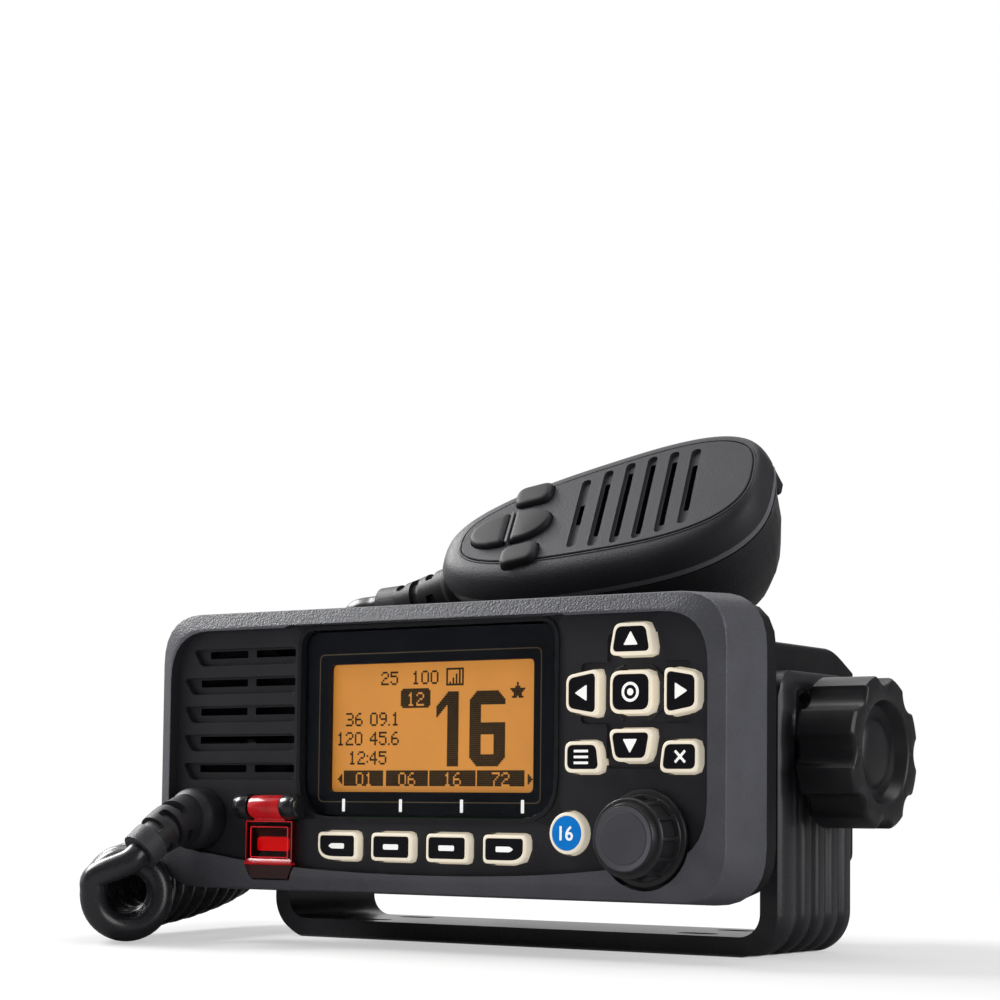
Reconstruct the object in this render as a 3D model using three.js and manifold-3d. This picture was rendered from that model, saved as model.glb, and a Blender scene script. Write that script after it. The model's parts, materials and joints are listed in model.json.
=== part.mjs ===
// Fixed-mount marine radio on a gimbal bracket, with a fist microphone on a curly cord.
// Millimetres, +Z up. X runs across the front panel, the front panel faces -Y.
// Origin: centre of the bracket base's underside.
import * as THREE from 'three';
import { mergeVertices } from 'three/addons/utils/BufferGeometryUtils.js';
import Module from 'manifold-3d';

const wasm = await Module();
wasm.setup();

// Driving dimensions
const clearance = 0.3;
const overrun = 1;
const tidyTolerance = 0.01;
const halfOfSide = 0.499;
const gimbal = { axisHeight: 45.2, axisToRim: 53 };
const panel = {
  width: 156.5,
  height: 66.5,
  depth: 15.8,
  draft: 0.85,
  cornerRadius: 12.2,
  rimRise: 1.4,
  rimWidth: 3,
  edgeRound: 0.5,
  recessDepth: 2.3,
  faceThickness: 2.2,
  wall: 2.6,
};
const recess = {
  sideMargin: 4.65,
  topMargin: 5.05,
  endMargin: 8.85,
  bowMargin: 5.05,
  displayStep: 0.6,
  displayMargin: 1.9,
  cornerRadius: 11.5,
  sideFoot: 11,
  bowOffset: 3,
};
const post = { sideInset: 9.25, endInset: 9.05, radius: 3.2, screwRadius: 1.4 };
const gasket = { thickness: 1.5, inset: 1.4, width: 3.4 };
const chassis = {
  flangeThickness: 4.2,
  flangeInset: 1.1,
  sideStep: 14.25,
  heightStep: 8.05,
  rear: 33,
  edgeRadius: 2.4,
  slopeStart: 21.4,
  slopeDrop: 5.4,
  bossRadius: 12,
  bossHeight: 1.9,
  studHoleDepth: 15,
};
const sink = {
  width: 100,
  height: 40,
  z: -2,
  rear: 56.8,
  finCount: 9,
  finThickness: 2.4,
  finFloor: 4,
  finRoot: 3,
};
const bracket = {
  depth: 35,
  baseThickness: 4.4,
  armThickness: 5.4,
  armTop: 63.2,
  outerRadius: 9.6,
  topRadius: 6,
  beadDepth: 8.6,
  beadRise: 0.9,
  ribCount: 4,
  ribGap: 1.5,
  ribRise: 0.9,
  ribRound: 0.6,
  screwX: 46,
  screwY: 9,
  screwRadius: 2.4,
  screwSlot: 5,
  indexHoleRadius: 1.5,
  indexHoleY: 6,
  indexHoleRise: 12,
};
const clampKnob = {
  radius: 17.2,
  valley: 2,
  lobeCount: 8,
  length: 14.2,
  edgeRound: 0.9,
  dishRadius: 11.7,
  dishDepth: 3.2,
  domeRadius: 7.4,
  domeRise: 1.6,
  studRadius: 3.8,
  boltHoleRadius: 4.5,
  studReach: 11,
};
const washer = { radius: 10.5, thickness: 1.7 };
const windowOpening = {
  sideMargin: 43.15,
  topMargin: 5.85,
  bottomMargin: 17.85,
  topRadius: 4.2,
  bottomRadius: 9,
  lipWidth: 0.9,
  lipRise: 0.5,
};
const lens = { sink: 1.1 };
const lcd = { sideMargin: 7.3, topMargin: 8.4, bottomMargin: 6.2, thickness: 1.4, frame: 2.6 };
const backlight = { thickness: 2 };
const keyTravel = 0.6;
const keyCap = {
  front: 1.9,
  flange: 0.9,
  flangeThickness: 0.8,
  gap: 0.4,
  round: 0.5,
  inlay: 1,
  inlayRise: 0.25,
};
const softKey = {
  endMargin: 4.5,
  gap: 3.9,
  height: 6.3,
  rise: 11.25,
  centreX: 0.3,
  radius: 1.2,
  cutRadius: 4.2,
};
const pad = {
  sideInset: 23.35,
  centreShare: 0.17293,
  columnPitch: 12.1,
  rowShare: 0.16842,
  radius: 1.7,
  wellMargin: 1.4,
  wellDepth: 0.7,
};
const enterKey = { width: 10.4, rowGap: 2.1, radius: 2.4 };
const arrowKey = { long: 11, short: 8.4, rowGap: 4.3, sideRise: 1.3, sideTaper: 2.8, sideWidth: 8.2 };
const cornerKey = { width: 8.6, height: 6.7, radius: 1.8, drop: 2.4, slant: 0.9 };
const roundKey = { sideInset: 38.95, rise: 14.95, radius: 4.5 };
const mat = { margin: 2 };
const volume = {
  sideInset: 19.75,
  rise: 14.15,
  skirtRadius: 10.2,
  skirtHeight: 1.5,
  gripRadius: 9,
  gripFrontRadius: 8.3,
  gripHeight: 6.6,
  discRise: 1.4,
  discInset: 1.1,
  flatCount: 12,
  flatDepth: 0.7,
  wellMargin: 0.8,
  shaftRadius: 3,
  encoderSize: 11.5,
  encoderThickness: 3.6,
};
const distress = {
  windowGap: 7.1,
  axisRise: 19.95,
  axisOut: 2.5,
  knuckleRadius: 2.7,
  knuckleLength: 9.4,
  bossLength: 3.8,
  bossRadius: 2.9,
  pinRadius: 1,
  coverWidth: 14,
  coverDrop: 13.3,
  coverThickness: 1.3,
  coverOut: 2.6,
  footHeight: 3.2,
  footTaper: 1.6,
  skirtWidth: 1.1,
  keyWidth: 10,
  keyHeight: 6.2,
  keyDrop: 7.3,
  keyRise: 0.9,
};
const louvre = {
  count: 5,
  pitchShare: 0.1015,
  topMargin: 9.25,
  height: 4,
  sideInset: 6.85,
  windowGap: 2,
  firstInset: 2.7,
  slant: 2.6,
  pocketDepth: 1.3,
  slitHeight: 1.7,
  slitInset: 4.4,
  slitEnd: 0.5,
  ribInset: 26.95,
  ribWidth: 2.6,
  radius: 0.7,
};
const speaker = {
  rimMargin: 6.75,
  topMargin: 7.75,
  radiusShare: 0.26316,
  depth: 9.5,
  rimThickness: 1.6,
  magnetRadius: 10,
  coneRadius: 15,
};
const board = { thickness: 1.6, width: 92, endInset: 7.25, x: 16 };
const screw = { headRadius: 2.9, headHeight: 2, shankRadius: 1.1, length: 14 };
const antenna = { x: 30, z: -9, flange: 24, barrelRadius: 7.9, boreRadius: 5, length: 15, seat: 1.2 };
const inlet = { x: -30, z: -9, radius: 7, length: 9, boreRadius: 3, seat: 2 };
const gland = {
  sideInset: 13.85,
  rise: 16.95,
  neckRadius: 4.4,
  flangeRadius: 5.4,
  flangeThickness: 1.4,
  bossRadius: 7.2,
  bossLength: 5.5,
};
const cord = {
  diameter: 6,
  coilRadius: 7.8,
  pitch: 6.9,
  startAngle: 0.1,
  endShare: 0.5,
  stepsPerTurn: 8,
  sides: 5,
  tubeSides: 6,
};
// Offsets from the gland's axis: sideways and up for the gland, sideways alone for the coil
const cordRoute = {
  gland: [
    [0, -58.2, 0],
    [0.2, -64.5, -1.9],
    [-0.2, -69.3, -4.6],
    [-1.2, -72.6, -7.7],
  ],
  axis: [
    [-4.3, -73.3, 11.2],
    [-13.1, -64.3, 11.4],
    [-22.2, -53, 12.2],
    [-28.1, -39, 12.8],
    [-33.1, -22, 14.2],
    [-41.6, 2, 17.5],
    [-48.6, 24, 24],
    [-45.6, 42, 37],
    [-35.6, 46, 53],
    [-27.6, 42, 66],
  ],
  approach: [-11.6, 20, 83.6],
  boot: [
    [-39.5, 19.5, 90],
    [-48, 19.5, 88],
    [-56.5, 19.5, 86.2],
    [-65.4, 19.5, 85.4],
  ],
};
const mic = {
  x: 3.6,
  y: 19,
  z: 62.3,
  yawDegrees: 6.4,
  pitchDegrees: -10,
  rollDegrees: 49.7,
  tail: -50,
  head: 41.6,
  tailHalf: 17.5,
  headHalf: 26.2,
  seam: -7.2,
  stripHeight: 1.4,
  stripInset: 0.7,
  rear: -34,
  plateauTail: -42.3,
  plateauHead: 39.7,
  plateauTailHalf: 12.5,
  plateauHeadHalf: 20,
  wall: 2.4,
  roundness: 2.7,
  innerShare: 0.62,
  innerRise: 0.4,
};
const micRear = { tailShare: 1.6, headShare: 1.2 };
const micRearShares = [
  [0, 0],
  [0.16, 0.055],
  [0.48, 0.12],
  [0.78, 0.22],
  [1, 0.36],
];
const micSlot = { pitch: 6.08, first: -7.9, width: 2.4, depth: 0.9, slitWidth: 1.3 };
const micSlotHalves = [14, 15.6, 16.4, 16.7, 16.4, 15.6];
const micSlitShares = [0.27, 0.62, 0.72, 0.78, 0.72, 0.56];
const micKey = {
  rockerX: -27.2,
  rockerHalfLength: 12,
  rockerHalfWidth: 6.1,
  rockerGap: 1.2,
  sideX: -22.5,
  sideY: 11.1,
  sideLength: 11,
  sideWidth: 7.4,
  radius: 2.9,
  rise: 1.5,
};
const ptt = {
  tail: 10,
  head: 37,
  inner: 13.5,
  depth: 10,
  top: -10,
  out: 1.4,
  travel: 1.4,
  gap: 0.5,
  flange: 1.4,
  flangeShort: 12.6,
};
const boot = {
  rootRadius: 6.2,
  ringRadius: 5.6,
  tipRadius: 4.6,
  coreRadius: 3.9,
  ringCount: 5,
  rootShare: 0.28,
  collarShare: 0.16,
  grooveStart: 0.12,
  grooveEnd: 0.45,
  ringStart: 0.55,
  tipShare: 0.985,
  sides: 12,
  holeGap: 0.45,
  holeSides: 24,
  holeShares: [0, 0.08, 0.16, 0.24, 0.32],
};
const hanger = { x: 6, capRadius: 6.5, neckRadius: 4, neckLength: 3.4, capLength: 1.8, spigotRadius: 2.6 };
const element = { x: 13, radius: 8, thickness: 5 };
const micBoard = { tail: -37, head: -2, width: 15, thickness: 1.6 };

// Finishes
const plasticTones = {
  bezel: [0x3a3b40, 0.62],
  black: [0x141416, 0.5],
  cream: [0xe8dcc4, 0.55],
  blue: [0x1c86d1, 0.45],
  glass: [0x0b0b0d, 0.08],
  amber: [0xf0902a, 0.35],
  red: [0xb81414, 0.2],
  rubber: [0x1a1a1c, 0.8],
  castAlloy: [0x2a2b2d, 0.6],
  mic: [0x2f3033, 0.65],
  green: [0x1f5a3a, 0.6],
};

function plastic(tone) {
  const [color, roughness] = plasticTones[tone];
  return new THREE.MeshStandardMaterial({ color, roughness, metalness: 0 });
}

function metal(color, roughness) {
  return new THREE.MeshStandardMaterial({ color, roughness, metalness: 1 });
}

// Mesh helpers
const arcSteps = 5;

function bare(geometry) {
  const copy = geometry.clone();
  copy.deleteAttribute('normal');
  copy.deleteAttribute('uv');
  const merged = mergeVertices(copy, 1e-4);
  const old = merged.index.array;
  const kept = [];
  for (let i = 0; i < old.length; i += 3) {
    const [a, b, c] = [old[i], old[i + 1], old[i + 2]];
    if (a !== b && b !== c && c !== a) kept.push(a, b, c);
  }
  if (signedVolume(merged.attributes.position, kept) < 0) kept.reverse();
  merged.setIndex(kept);
  return merged;
}

function signedVolume(position, index) {
  const [a, b, c] = [new THREE.Vector3(), new THREE.Vector3(), new THREE.Vector3()];
  let total = 0;
  for (let i = 0; i < index.length; i += 3) {
    a.fromBufferAttribute(position, index[i]);
    b.fromBufferAttribute(position, index[i + 1]);
    c.fromBufferAttribute(position, index[i + 2]);
    total += a.dot(b.cross(c));
  }
  return total;
}

function solid(geometry) {
  const merged = bare(geometry);
  return new wasm.Manifold(
    new wasm.Mesh({
      numProp: 3,
      vertProperties: new Float32Array(merged.attributes.position.array),
      triVerts: new Uint32Array(merged.index.array),
    }),
  );
}

function surface(body) {
  const mesh = body.simplify(tidyTolerance).getMesh();
  const geometry = new THREE.BufferGeometry();
  geometry.setAttribute('position', new THREE.BufferAttribute(new Float32Array(mesh.vertProperties), 3));
  geometry.setIndex(new THREE.BufferAttribute(new Uint32Array(mesh.triVerts), 1));
  geometry.computeVertexNormals();
  return geometry;
}

function cut(base, ...tools) {
  let body = solid(base);
  for (const tool of tools) body = body.subtract(solid(tool));
  return surface(body);
}

function join(base, ...others) {
  let body = solid(base);
  for (const other of others) body = body.add(solid(other));
  return surface(body);
}

function common(base, other) {
  return surface(solid(base).intersect(solid(other)));
}

function named(name, geometry, material, parent) {
  const mesh = new THREE.Mesh(surface(solid(geometry)), material);
  mesh.name = name;
  parent.add(mesh);
  return mesh;
}

// Outlines with rounded corners
function towards(from, to, distance) {
  const length = Math.hypot(to[0] - from[0], to[1] - from[1]);
  const share = Math.min(distance / length, halfOfSide);
  return [from[0] + (to[0] - from[0]) * share, from[1] + (to[1] - from[1]) * share];
}

function roundedShape(corners, radii) {
  const shape = new THREE.Shape();
  corners.forEach((corner, i) => {
    const before = corners[(i + corners.length - 1) % corners.length];
    const after = corners[(i + 1) % corners.length];
    const radius = Array.isArray(radii) ? radii[i] : radii;
    const entry = towards(corner, before, radius);
    if (i === 0) shape.moveTo(...entry);
    else shape.lineTo(...entry);
    shape.quadraticCurveTo(...corner, ...towards(corner, after, radius));
  });
  shape.closePath();
  return shape;
}

function outline(shape, steps = arcSteps) {
  const points = shape.getPoints(steps);
  const last = points[points.length - 1];
  if (last.distanceTo(points[0]) < 1e-6) points.pop();
  return points;
}

function box(width, height, x = 0, z = 0) {
  return [
    [x - width / 2, z - height / 2],
    [x + width / 2, z - height / 2],
    [x + width / 2, z + height / 2],
    [x - width / 2, z + height / 2],
  ];
}

function span(left, right, bottom, top) {
  return box(right - left, top - bottom, (left + right) / 2, (bottom + top) / 2);
}

function inset(corners, distance) {
  const count = corners.length;
  const edges = corners.map((corner, i) => {
    const next = corners[(i + 1) % count];
    const length = Math.hypot(next[0] - corner[0], next[1] - corner[1]);
    const normal = [-(next[1] - corner[1]) / length, (next[0] - corner[0]) / length];
    return { normal, offset: normal[0] * corner[0] + normal[1] * corner[1] + distance };
  });
  return corners.map((corner, i) => {
    const a = edges[(i + count - 1) % count];
    const b = edges[i];
    const det = a.normal[0] * b.normal[1] - a.normal[1] * b.normal[0];
    return [
      (a.offset * b.normal[1] - b.offset * a.normal[1]) / det,
      (a.normal[0] * b.offset - b.normal[0] * a.offset) / det,
    ];
  });
}

// Closed skin over a stack of outlines with equal point counts, each at its own height
function stack(rings) {
  const count = rings[0].points.length;
  const positions = [];
  const index = [];
  for (const ring of rings) {
    for (const point of ring.points) positions.push(point.x, point.y, ring.at);
  }
  for (let r = 0; r < rings.length - 1; r += 1) {
    for (let i = 0; i < count; i += 1) {
      const a = r * count + i;
      const b = r * count + ((i + 1) % count);
      index.push(a, b, b + count, a, b + count, a + count);
    }
  }
  const top = (rings.length - 1) * count;
  const bottomCap = THREE.ShapeUtils.triangulateShape(rings[0].points, []);
  const topCap = THREE.ShapeUtils.triangulateShape(rings[rings.length - 1].points, []);
  for (const [a, b, c] of bottomCap) index.push(a, c, b);
  for (const [a, b, c] of topCap) index.push(top + a, top + b, top + c);
  const geometry = new THREE.BufferGeometry();
  geometry.setAttribute('position', new THREE.BufferAttribute(new Float32Array(positions), 3));
  geometry.setIndex(index);
  return geometry;
}

// Turns a shape drawn in X and Z, built up along its own axis, to face out of the panel
function facing(geometry) {
  return geometry.rotateX(Math.PI / 2);
}

function prism(shape, back, front, steps = arcSteps) {
  const geometry = new THREE.ExtrudeGeometry(shape, {
    depth: front - back,
    bevelEnabled: false,
    curveSegments: steps,
  });
  return geometry.translate(0, 0, back);
}

function plate(corners, radii, back, front, steps) {
  return facing(prism(roundedShape(corners, radii), back, front, steps));
}

function circle(radius, x = 0, z = 0) {
  const shape = new THREE.Shape();
  shape.absarc(x, z, radius, 0, Math.PI * 2, false);
  return shape;
}

function slotShape(radius, length, x, y) {
  const shape = new THREE.Shape();
  const quarter = Math.PI / 2;
  shape.absarc(x + length / 2, y, radius, -quarter, quarter, false);
  shape.absarc(x - length / 2, y, radius, quarter, -quarter, false);
  return shape;
}

function disc(radius, x, z, back, front, steps = 20) {
  return facing(prism(circle(radius, x, z), back, front, steps));
}

function turned(profile, steps) {
  return new THREE.LatheGeometry(
    profile.map(([r, h]) => new THREE.Vector2(r, h)),
    steps,
  );
}

// A lathe form whose axis points out of the panel
function turnedOut(profile, steps, x, z) {
  return turned(profile, steps).rotateX(Math.PI).translate(x, 0, z);
}

// Levels along the axis out of the panel
const rimOut = gimbal.axisToRim;
const ridgeOut = rimOut + panel.rimRise;
const faceOut = ridgeOut - panel.recessDepth;
const faceBack = faceOut - panel.faceThickness;
const panelBack = rimOut - panel.depth;

// Places on the panel, measured in from its edges
const panelSide = panel.width / 2;
const panelEnd = panel.height / 2;
const windowHalf = panelSide - windowOpening.sideMargin;
const windowTop = panelEnd - windowOpening.topMargin;
const windowBottom = windowOpening.bottomMargin - panelEnd;
const softPitch = (windowHalf - softKey.endMargin) / 2;
const softWidth = softPitch - softKey.gap;
const softZ = softKey.rise - panelEnd;
const padX = panelSide - pad.sideInset;
const padZ = panel.height * pad.centreShare;
const rowPitch = panel.height * pad.rowShare;
const enterHeight = rowPitch - enterKey.rowGap;
const arrowHeight = rowPitch - arrowKey.rowGap;
const sideHeight = enterHeight + arrowKey.sideRise;
const sideTail = sideHeight - arrowKey.sideTaper;
const cornerZ = padZ - rowPitch - cornerKey.drop;
const roundX = panelSide - roundKey.sideInset;
const roundZ = roundKey.rise - panelEnd;
const volumeX = panelSide - volume.sideInset;
const volumeZ = volume.rise - panelEnd;
const distressX = -windowHalf - distress.windowGap;
const distressZ = distress.axisRise - panelEnd;
const coverBottom = distressZ - distress.coverDrop;
const louvreLeft = louvre.sideInset - panelSide;
const louvreRight = -windowHalf - louvre.windowGap;
const speakerRadius = panel.height * speaker.radiusShare;
const speakerX = speaker.rimMargin + speakerRadius - panelSide;
const speakerZ = panelEnd - speaker.topMargin - speakerRadius;
const glandX = gland.sideInset - panelSide;
const glandZ = gland.rise - panelEnd;

const root = new THREE.Group();
const radio = new THREE.Group();
radio.position.set(0, 0, gimbal.axisHeight);
root.add(radio);

// Front panel
function panelRing(width, height, radius, at) {
  return { points: outline(roundedShape(box(width, height), radius), 7), at };
}

function panelShell() {
  const w = panel.width;
  const h = panel.height;
  const r = panel.cornerRadius;
  const d = panel.draft * 2;
  const e = panel.edgeRound;
  const n = (panel.edgeRound + panel.rimWidth) * 2 + d;
  const skin = stack([
    panelRing(w, h, r, panelBack),
    panelRing(w - d, h - d, r - panel.draft, rimOut - e),
    panelRing(w - d - e, h - d - e, r - panel.draft, rimOut),
    panelRing(w - n, h - n, r - panel.rimWidth, ridgeOut),
  ]);
  return facing(skin);
}

function recessShape() {
  const { cornerRadius: r, bowOffset, displayStep: step } = recess;
  const hw = panelSide - recess.sideMargin;
  const top = panelEnd - recess.topMargin;
  const endDrop = panelEnd - recess.endMargin;
  const bowDrop = panelEnd - recess.bowMargin;
  const raised = windowHalf + recess.displayMargin;
  const foot = -recess.sideFoot;
  const run = endDrop - recess.sideFoot;
  const shape = new THREE.Shape();
  shape.moveTo(hw, foot);
  shape.lineTo(hw, top - r);
  shape.quadraticCurveTo(hw, top, hw - r, top);
  shape.lineTo(raised + step * 3, top);
  shape.lineTo(raised, top + step);
  shape.lineTo(-raised, top + step);
  shape.lineTo(-raised - step * 3, top);
  shape.lineTo(-hw + r, top);
  shape.quadraticCurveTo(-hw, top, -hw, top - r);
  shape.lineTo(-hw, foot);
  shape.quadraticCurveTo(-hw, -endDrop, -hw + run, -endDrop);
  shape.quadraticCurveTo(-hw / 2, -bowDrop, bowOffset, -bowDrop);
  shape.quadraticCurveTo(hw / 2, -bowDrop, hw - run, -endDrop);
  shape.quadraticCurveTo(hw, -endDrop, hw, foot);
  return shape;
}

const keyFront = faceOut + keyCap.front;
const flangeFront = faceBack - clearance;

const softKeys = [-1.5, -0.5, 0.5, 1.5].map((place) => {
  const x = softKey.centreX + place * softPitch;
  const end = softKey.cutRadius;
  const small = softKey.radius;
  const radii = [small, small, small, small];
  if (place < -1) radii[0] = end;
  if (place > 1) radii[1] = end;
  return { corners: box(softWidth, softKey.height, x, softZ), radii };
});

function trapezoid(x, z, wide, narrow, height, direction) {
  const low = direction > 0 ? wide : narrow;
  const high = direction > 0 ? narrow : wide;
  return [
    [x - low / 2, z - height / 2],
    [x + low / 2, z - height / 2],
    [x + high / 2, z + height / 2],
    [x - high / 2, z + height / 2],
  ];
}

function sideKey(direction) {
  const x = padX + direction * pad.columnPitch;
  const near = x - (direction * arrowKey.sideWidth) / 2;
  const far = x + (direction * arrowKey.sideWidth) / 2;
  const corners = [
    [near, padZ - sideHeight / 2],
    [far, padZ - sideTail / 2],
    [far, padZ + sideTail / 2],
    [near, padZ + sideHeight / 2],
  ];
  return direction > 0 ? corners : corners.reverse();
}

function lowerKey(direction) {
  const x = padX + direction * pad.columnPitch;
  const corners = box(cornerKey.width, cornerKey.height, x, cornerZ);
  const inner = direction > 0 ? 0 : 1;
  corners[inner][0] -= direction * cornerKey.slant;
  return corners;
}

const padKeys = {
  key_up: { corners: trapezoid(padX, padZ + rowPitch, arrowKey.long, arrowKey.short, arrowHeight, 1) },
  key_left: { corners: sideKey(-1) },
  key_enter: { corners: box(enterKey.width, enterHeight, padX, padZ), radii: enterKey.radius },
  key_right: { corners: sideKey(1) },
  key_down: { corners: trapezoid(padX, padZ - rowPitch, arrowKey.long, arrowKey.short, arrowHeight, -1) },
  key_menu: { corners: lowerKey(-1), radii: cornerKey.radius },
  key_clear: { corners: lowerKey(1), radii: cornerKey.radius },
};
for (const key of Object.values(padKeys)) key.radii ??= pad.radius;

const distressKey = {
  corners: box(distress.keyWidth, distress.keyHeight, distressX, distressZ - distress.keyDrop),
  radii: distress.skirtWidth,
};

const allKeys = { ...padKeys };
softKeys.forEach((key, i) => {
  allKeys[`key_soft_${i + 1}`] = key;
});

function grown(radii, distance) {
  return Array.isArray(radii) ? radii.map((r) => r + distance) : radii + distance;
}

function keyWell(key) {
  const corners = inset(key.corners, -keyCap.gap);
  return plate(corners, grown(key.radii, keyCap.gap), panelBack, ridgeOut, 2);
}

function capSolid(corners, radii, front) {
  const ring = (distance, at) => ({
    points: outline(roundedShape(inset(corners, distance), grown(radii, -distance / 2)), 2),
    at,
  });
  const shoulder = front - keyCap.inlayRise;
  return facing(
    stack([
      ring(-keyCap.flange, flangeFront - keyCap.flangeThickness),
      ring(-keyCap.flange, flangeFront),
      ring(0, flangeFront),
      ring(0, shoulder - keyCap.round),
      ring(keyCap.round / 2, shoulder),
      ring(keyCap.inlay, shoulder),
      ring(keyCap.inlay + keyCap.inlayRise, front),
    ]),
  );
}

function louvreCuts() {
  const cuts = [];
  const ribX = louvre.ribInset - panelSide;
  for (let i = 0; i < louvre.count; i += 1) {
    const top = panelEnd - louvre.topMargin - i * panel.height * louvre.pitchShare;
    const bottom = top - louvre.height;
    const left = i === 0 ? louvreLeft + louvre.firstInset : louvreLeft;
    const corners = [
      [left + louvre.slant, bottom],
      [louvreRight, bottom],
      [louvreRight, top],
      [left, top],
    ];
    cuts.push(plate(corners, louvre.radius, faceOut - louvre.pocketDepth, ridgeOut, 1));
    const slitTop = top - louvre.slitEnd;
    const slitBottom = slitTop - louvre.slitHeight;
    const slitLeft = left + louvre.slitInset;
    const slitRight = louvreRight - louvre.slitEnd;
    const ribLeft = ribX - louvre.ribWidth / 2;
    const ribRight = ribX + louvre.ribWidth / 2;
    const hidden = louvre.radius / 4;
    cuts.push(plate(span(slitLeft, ribLeft, slitBottom, slitTop), hidden, panelBack, ridgeOut, 1));
    cuts.push(plate(span(ribRight, slitRight, slitBottom, slitTop), hidden, panelBack, ridgeOut, 1));
  }
  return cuts;
}

function windowCorners(grow) {
  return inset(span(-windowHalf, windowHalf, windowBottom, windowTop), -grow);
}

function windowRadii(grow) {
  const low = windowOpening.bottomRadius + grow;
  const high = windowOpening.topRadius + grow;
  return [low, low, high, high];
}

const hingeOut = faceOut + distress.axisOut;

function hingeBoss(side) {
  const from = distress.knuckleLength / 2 + clearance;
  const centre = from + distress.bossLength / 2;
  const stem = plate(
    box(distress.bossLength, distress.bossRadius * 2, distressX + side * centre, distressZ),
    clearance,
    faceOut - clearance,
    hingeOut,
    2,
  );
  const round = new THREE.CylinderGeometry(distress.bossRadius, distress.bossRadius, distress.bossLength, 18);
  round.rotateZ(Math.PI / 2).translate(distressX + side * centre, -hingeOut, distressZ);
  return join(round, stem);
}

function pinHole(radius, length) {
  const hole = new THREE.CylinderGeometry(radius, radius, length, 20);
  return hole.rotateZ(Math.PI / 2).translate(distressX, -hingeOut, distressZ);
}

const coverFront = faceOut + distress.coverOut;
const coverBack = coverFront - distress.coverThickness;
const leafTop = distressZ - distress.bossRadius - clearance;

function leafCorners() {
  const half = distress.coverWidth / 2;
  const foot = coverBottom - distress.footHeight;
  const x = distressX;
  return [
    [x - half + distress.footTaper, foot],
    [x + half - distress.footTaper, foot],
    [x + half, coverBottom],
    [x + half, leafTop],
    [x - half, leafTop],
    [x - half, coverBottom],
  ];
}

const postX = panelSide - post.sideInset;
const postZ = panelEnd - post.endInset;
const postSigns = [
  [-1, -1],
  [1, -1],
  [1, 1],
  [-1, 1],
];

function frontPanel() {
  const pocket = plate(
    inset(box(panel.width, panel.height), panel.wall + panel.draft),
    panel.cornerRadius - panel.wall,
    panelBack - overrun,
    faceBack,
  );
  const posts = postSigns.map(([sx, sz]) =>
    disc(post.radius, sx * postX, sz * postZ, panelBack, faceBack, 6),
  );
  const hollow = cut(pocket, ...posts);
  const shell = cut(panelShell(), hollow, facing(prism(recessShape(), faceOut, ridgeOut + overrun, 8)));
  const lip = cut(
    plate(
      windowCorners(windowOpening.lipWidth),
      windowRadii(windowOpening.lipWidth),
      faceBack,
      faceOut + windowOpening.lipRise,
    ),
    plate(windowCorners(0), windowRadii(0), panelBack, ridgeOut),
  );
  const bosses = [hingeBoss(-1), hingeBoss(1)];
  const bodies = join(shell, lip, ...bosses);
  const keyCuts = Object.values(allKeys).map(keyWell);
  const padWell = [
    span(
      padX - arrowKey.long / 2,
      padX + arrowKey.long / 2,
      padZ - rowPitch - arrowHeight / 2,
      padZ + rowPitch,
    ),
    span(
      padX - pad.columnPitch,
      padX + pad.columnPitch,
      padZ - sideHeight / 2,
      padZ + sideHeight / 2,
    ),
  ].map((corners) =>
    plate(inset(corners, -pad.wellMargin), pad.wellMargin, faceOut - pad.wellDepth, ridgeOut, 3),
  );
  const cuts = [
    plate(windowCorners(0), windowRadii(0), panelBack, ridgeOut),
    ...keyCuts,
    ...padWell,
    disc(roundKey.radius + keyCap.gap, roundX, roundZ, panelBack, ridgeOut, 14),
    disc(volume.skirtRadius + volume.wellMargin, volumeX, volumeZ, faceOut, ridgeOut + overrun, 20),
    disc(volume.shaftRadius + clearance, volumeX, volumeZ, panelBack, ridgeOut, 10),
    disc(gland.neckRadius + clearance, glandX, glandZ, panelBack, ridgeOut, 12),
    disc(gland.bossRadius + clearance, glandX, glandZ, faceOut, ridgeOut + overrun, 12),
    pinHole(distress.knuckleRadius + clearance, distress.knuckleLength + clearance * 2),
    pinHole(distress.pinRadius + clearance, distress.knuckleLength + distress.bossLength * 2 + overrun * 3),
    keyWell(distressKey),
    plate(inset(leafCorners(), -keyCap.gap), clearance, coverBack - clearance, ridgeOut + overrun, 1),
    ...louvreCuts(),
    ...postSigns.map(([sx, sz]) =>
      disc(post.screwRadius, sx * postX, sz * postZ, panelBack - overrun, faceBack - overrun, 6),
    ),
  ];
  return cut(bodies, ...cuts);
}
named('front_panel', frontPanel(), plastic('bezel'), radio);

// Keys of the panel
for (const [name, key] of Object.entries(allKeys)) {
  named(name, capSolid(key.corners, key.radii, keyFront), plastic('cream'), radio);
}

function roundCap(radius, x, z, front) {
  const shoulder = front - keyCap.inlayRise;
  const wide = radius + keyCap.flange;
  return turnedOut(
    [
      [0, flangeFront - keyCap.flangeThickness],
      [wide, flangeFront - keyCap.flangeThickness],
      [wide, flangeFront],
      [radius, flangeFront],
      [radius, shoulder - keyCap.round],
      [radius - keyCap.round, shoulder],
      [radius - keyCap.inlay, shoulder],
      [radius - keyCap.inlay - keyCap.inlayRise, front],
      [0, front],
    ],
    24,
    x,
    z,
  );
}
named('key_sixteen', roundCap(roundKey.radius, roundX, roundZ, keyFront), plastic('blue'), radio);
named(
  'distress_key',
  capSolid(distressKey.corners, distressKey.radii, faceOut + distress.keyRise),
  plastic('red'),
  radio,
);

// Display stack, one behind the other
const lensFlangeFront = faceBack - clearance;
const lcdFront = lensFlangeFront - keyCap.flangeThickness - clearance;
const lightFront = lcdFront - lcd.thickness - clearance;
const boardFront = lightFront - backlight.thickness - clearance;
const boardBack = boardFront - board.thickness;

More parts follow.
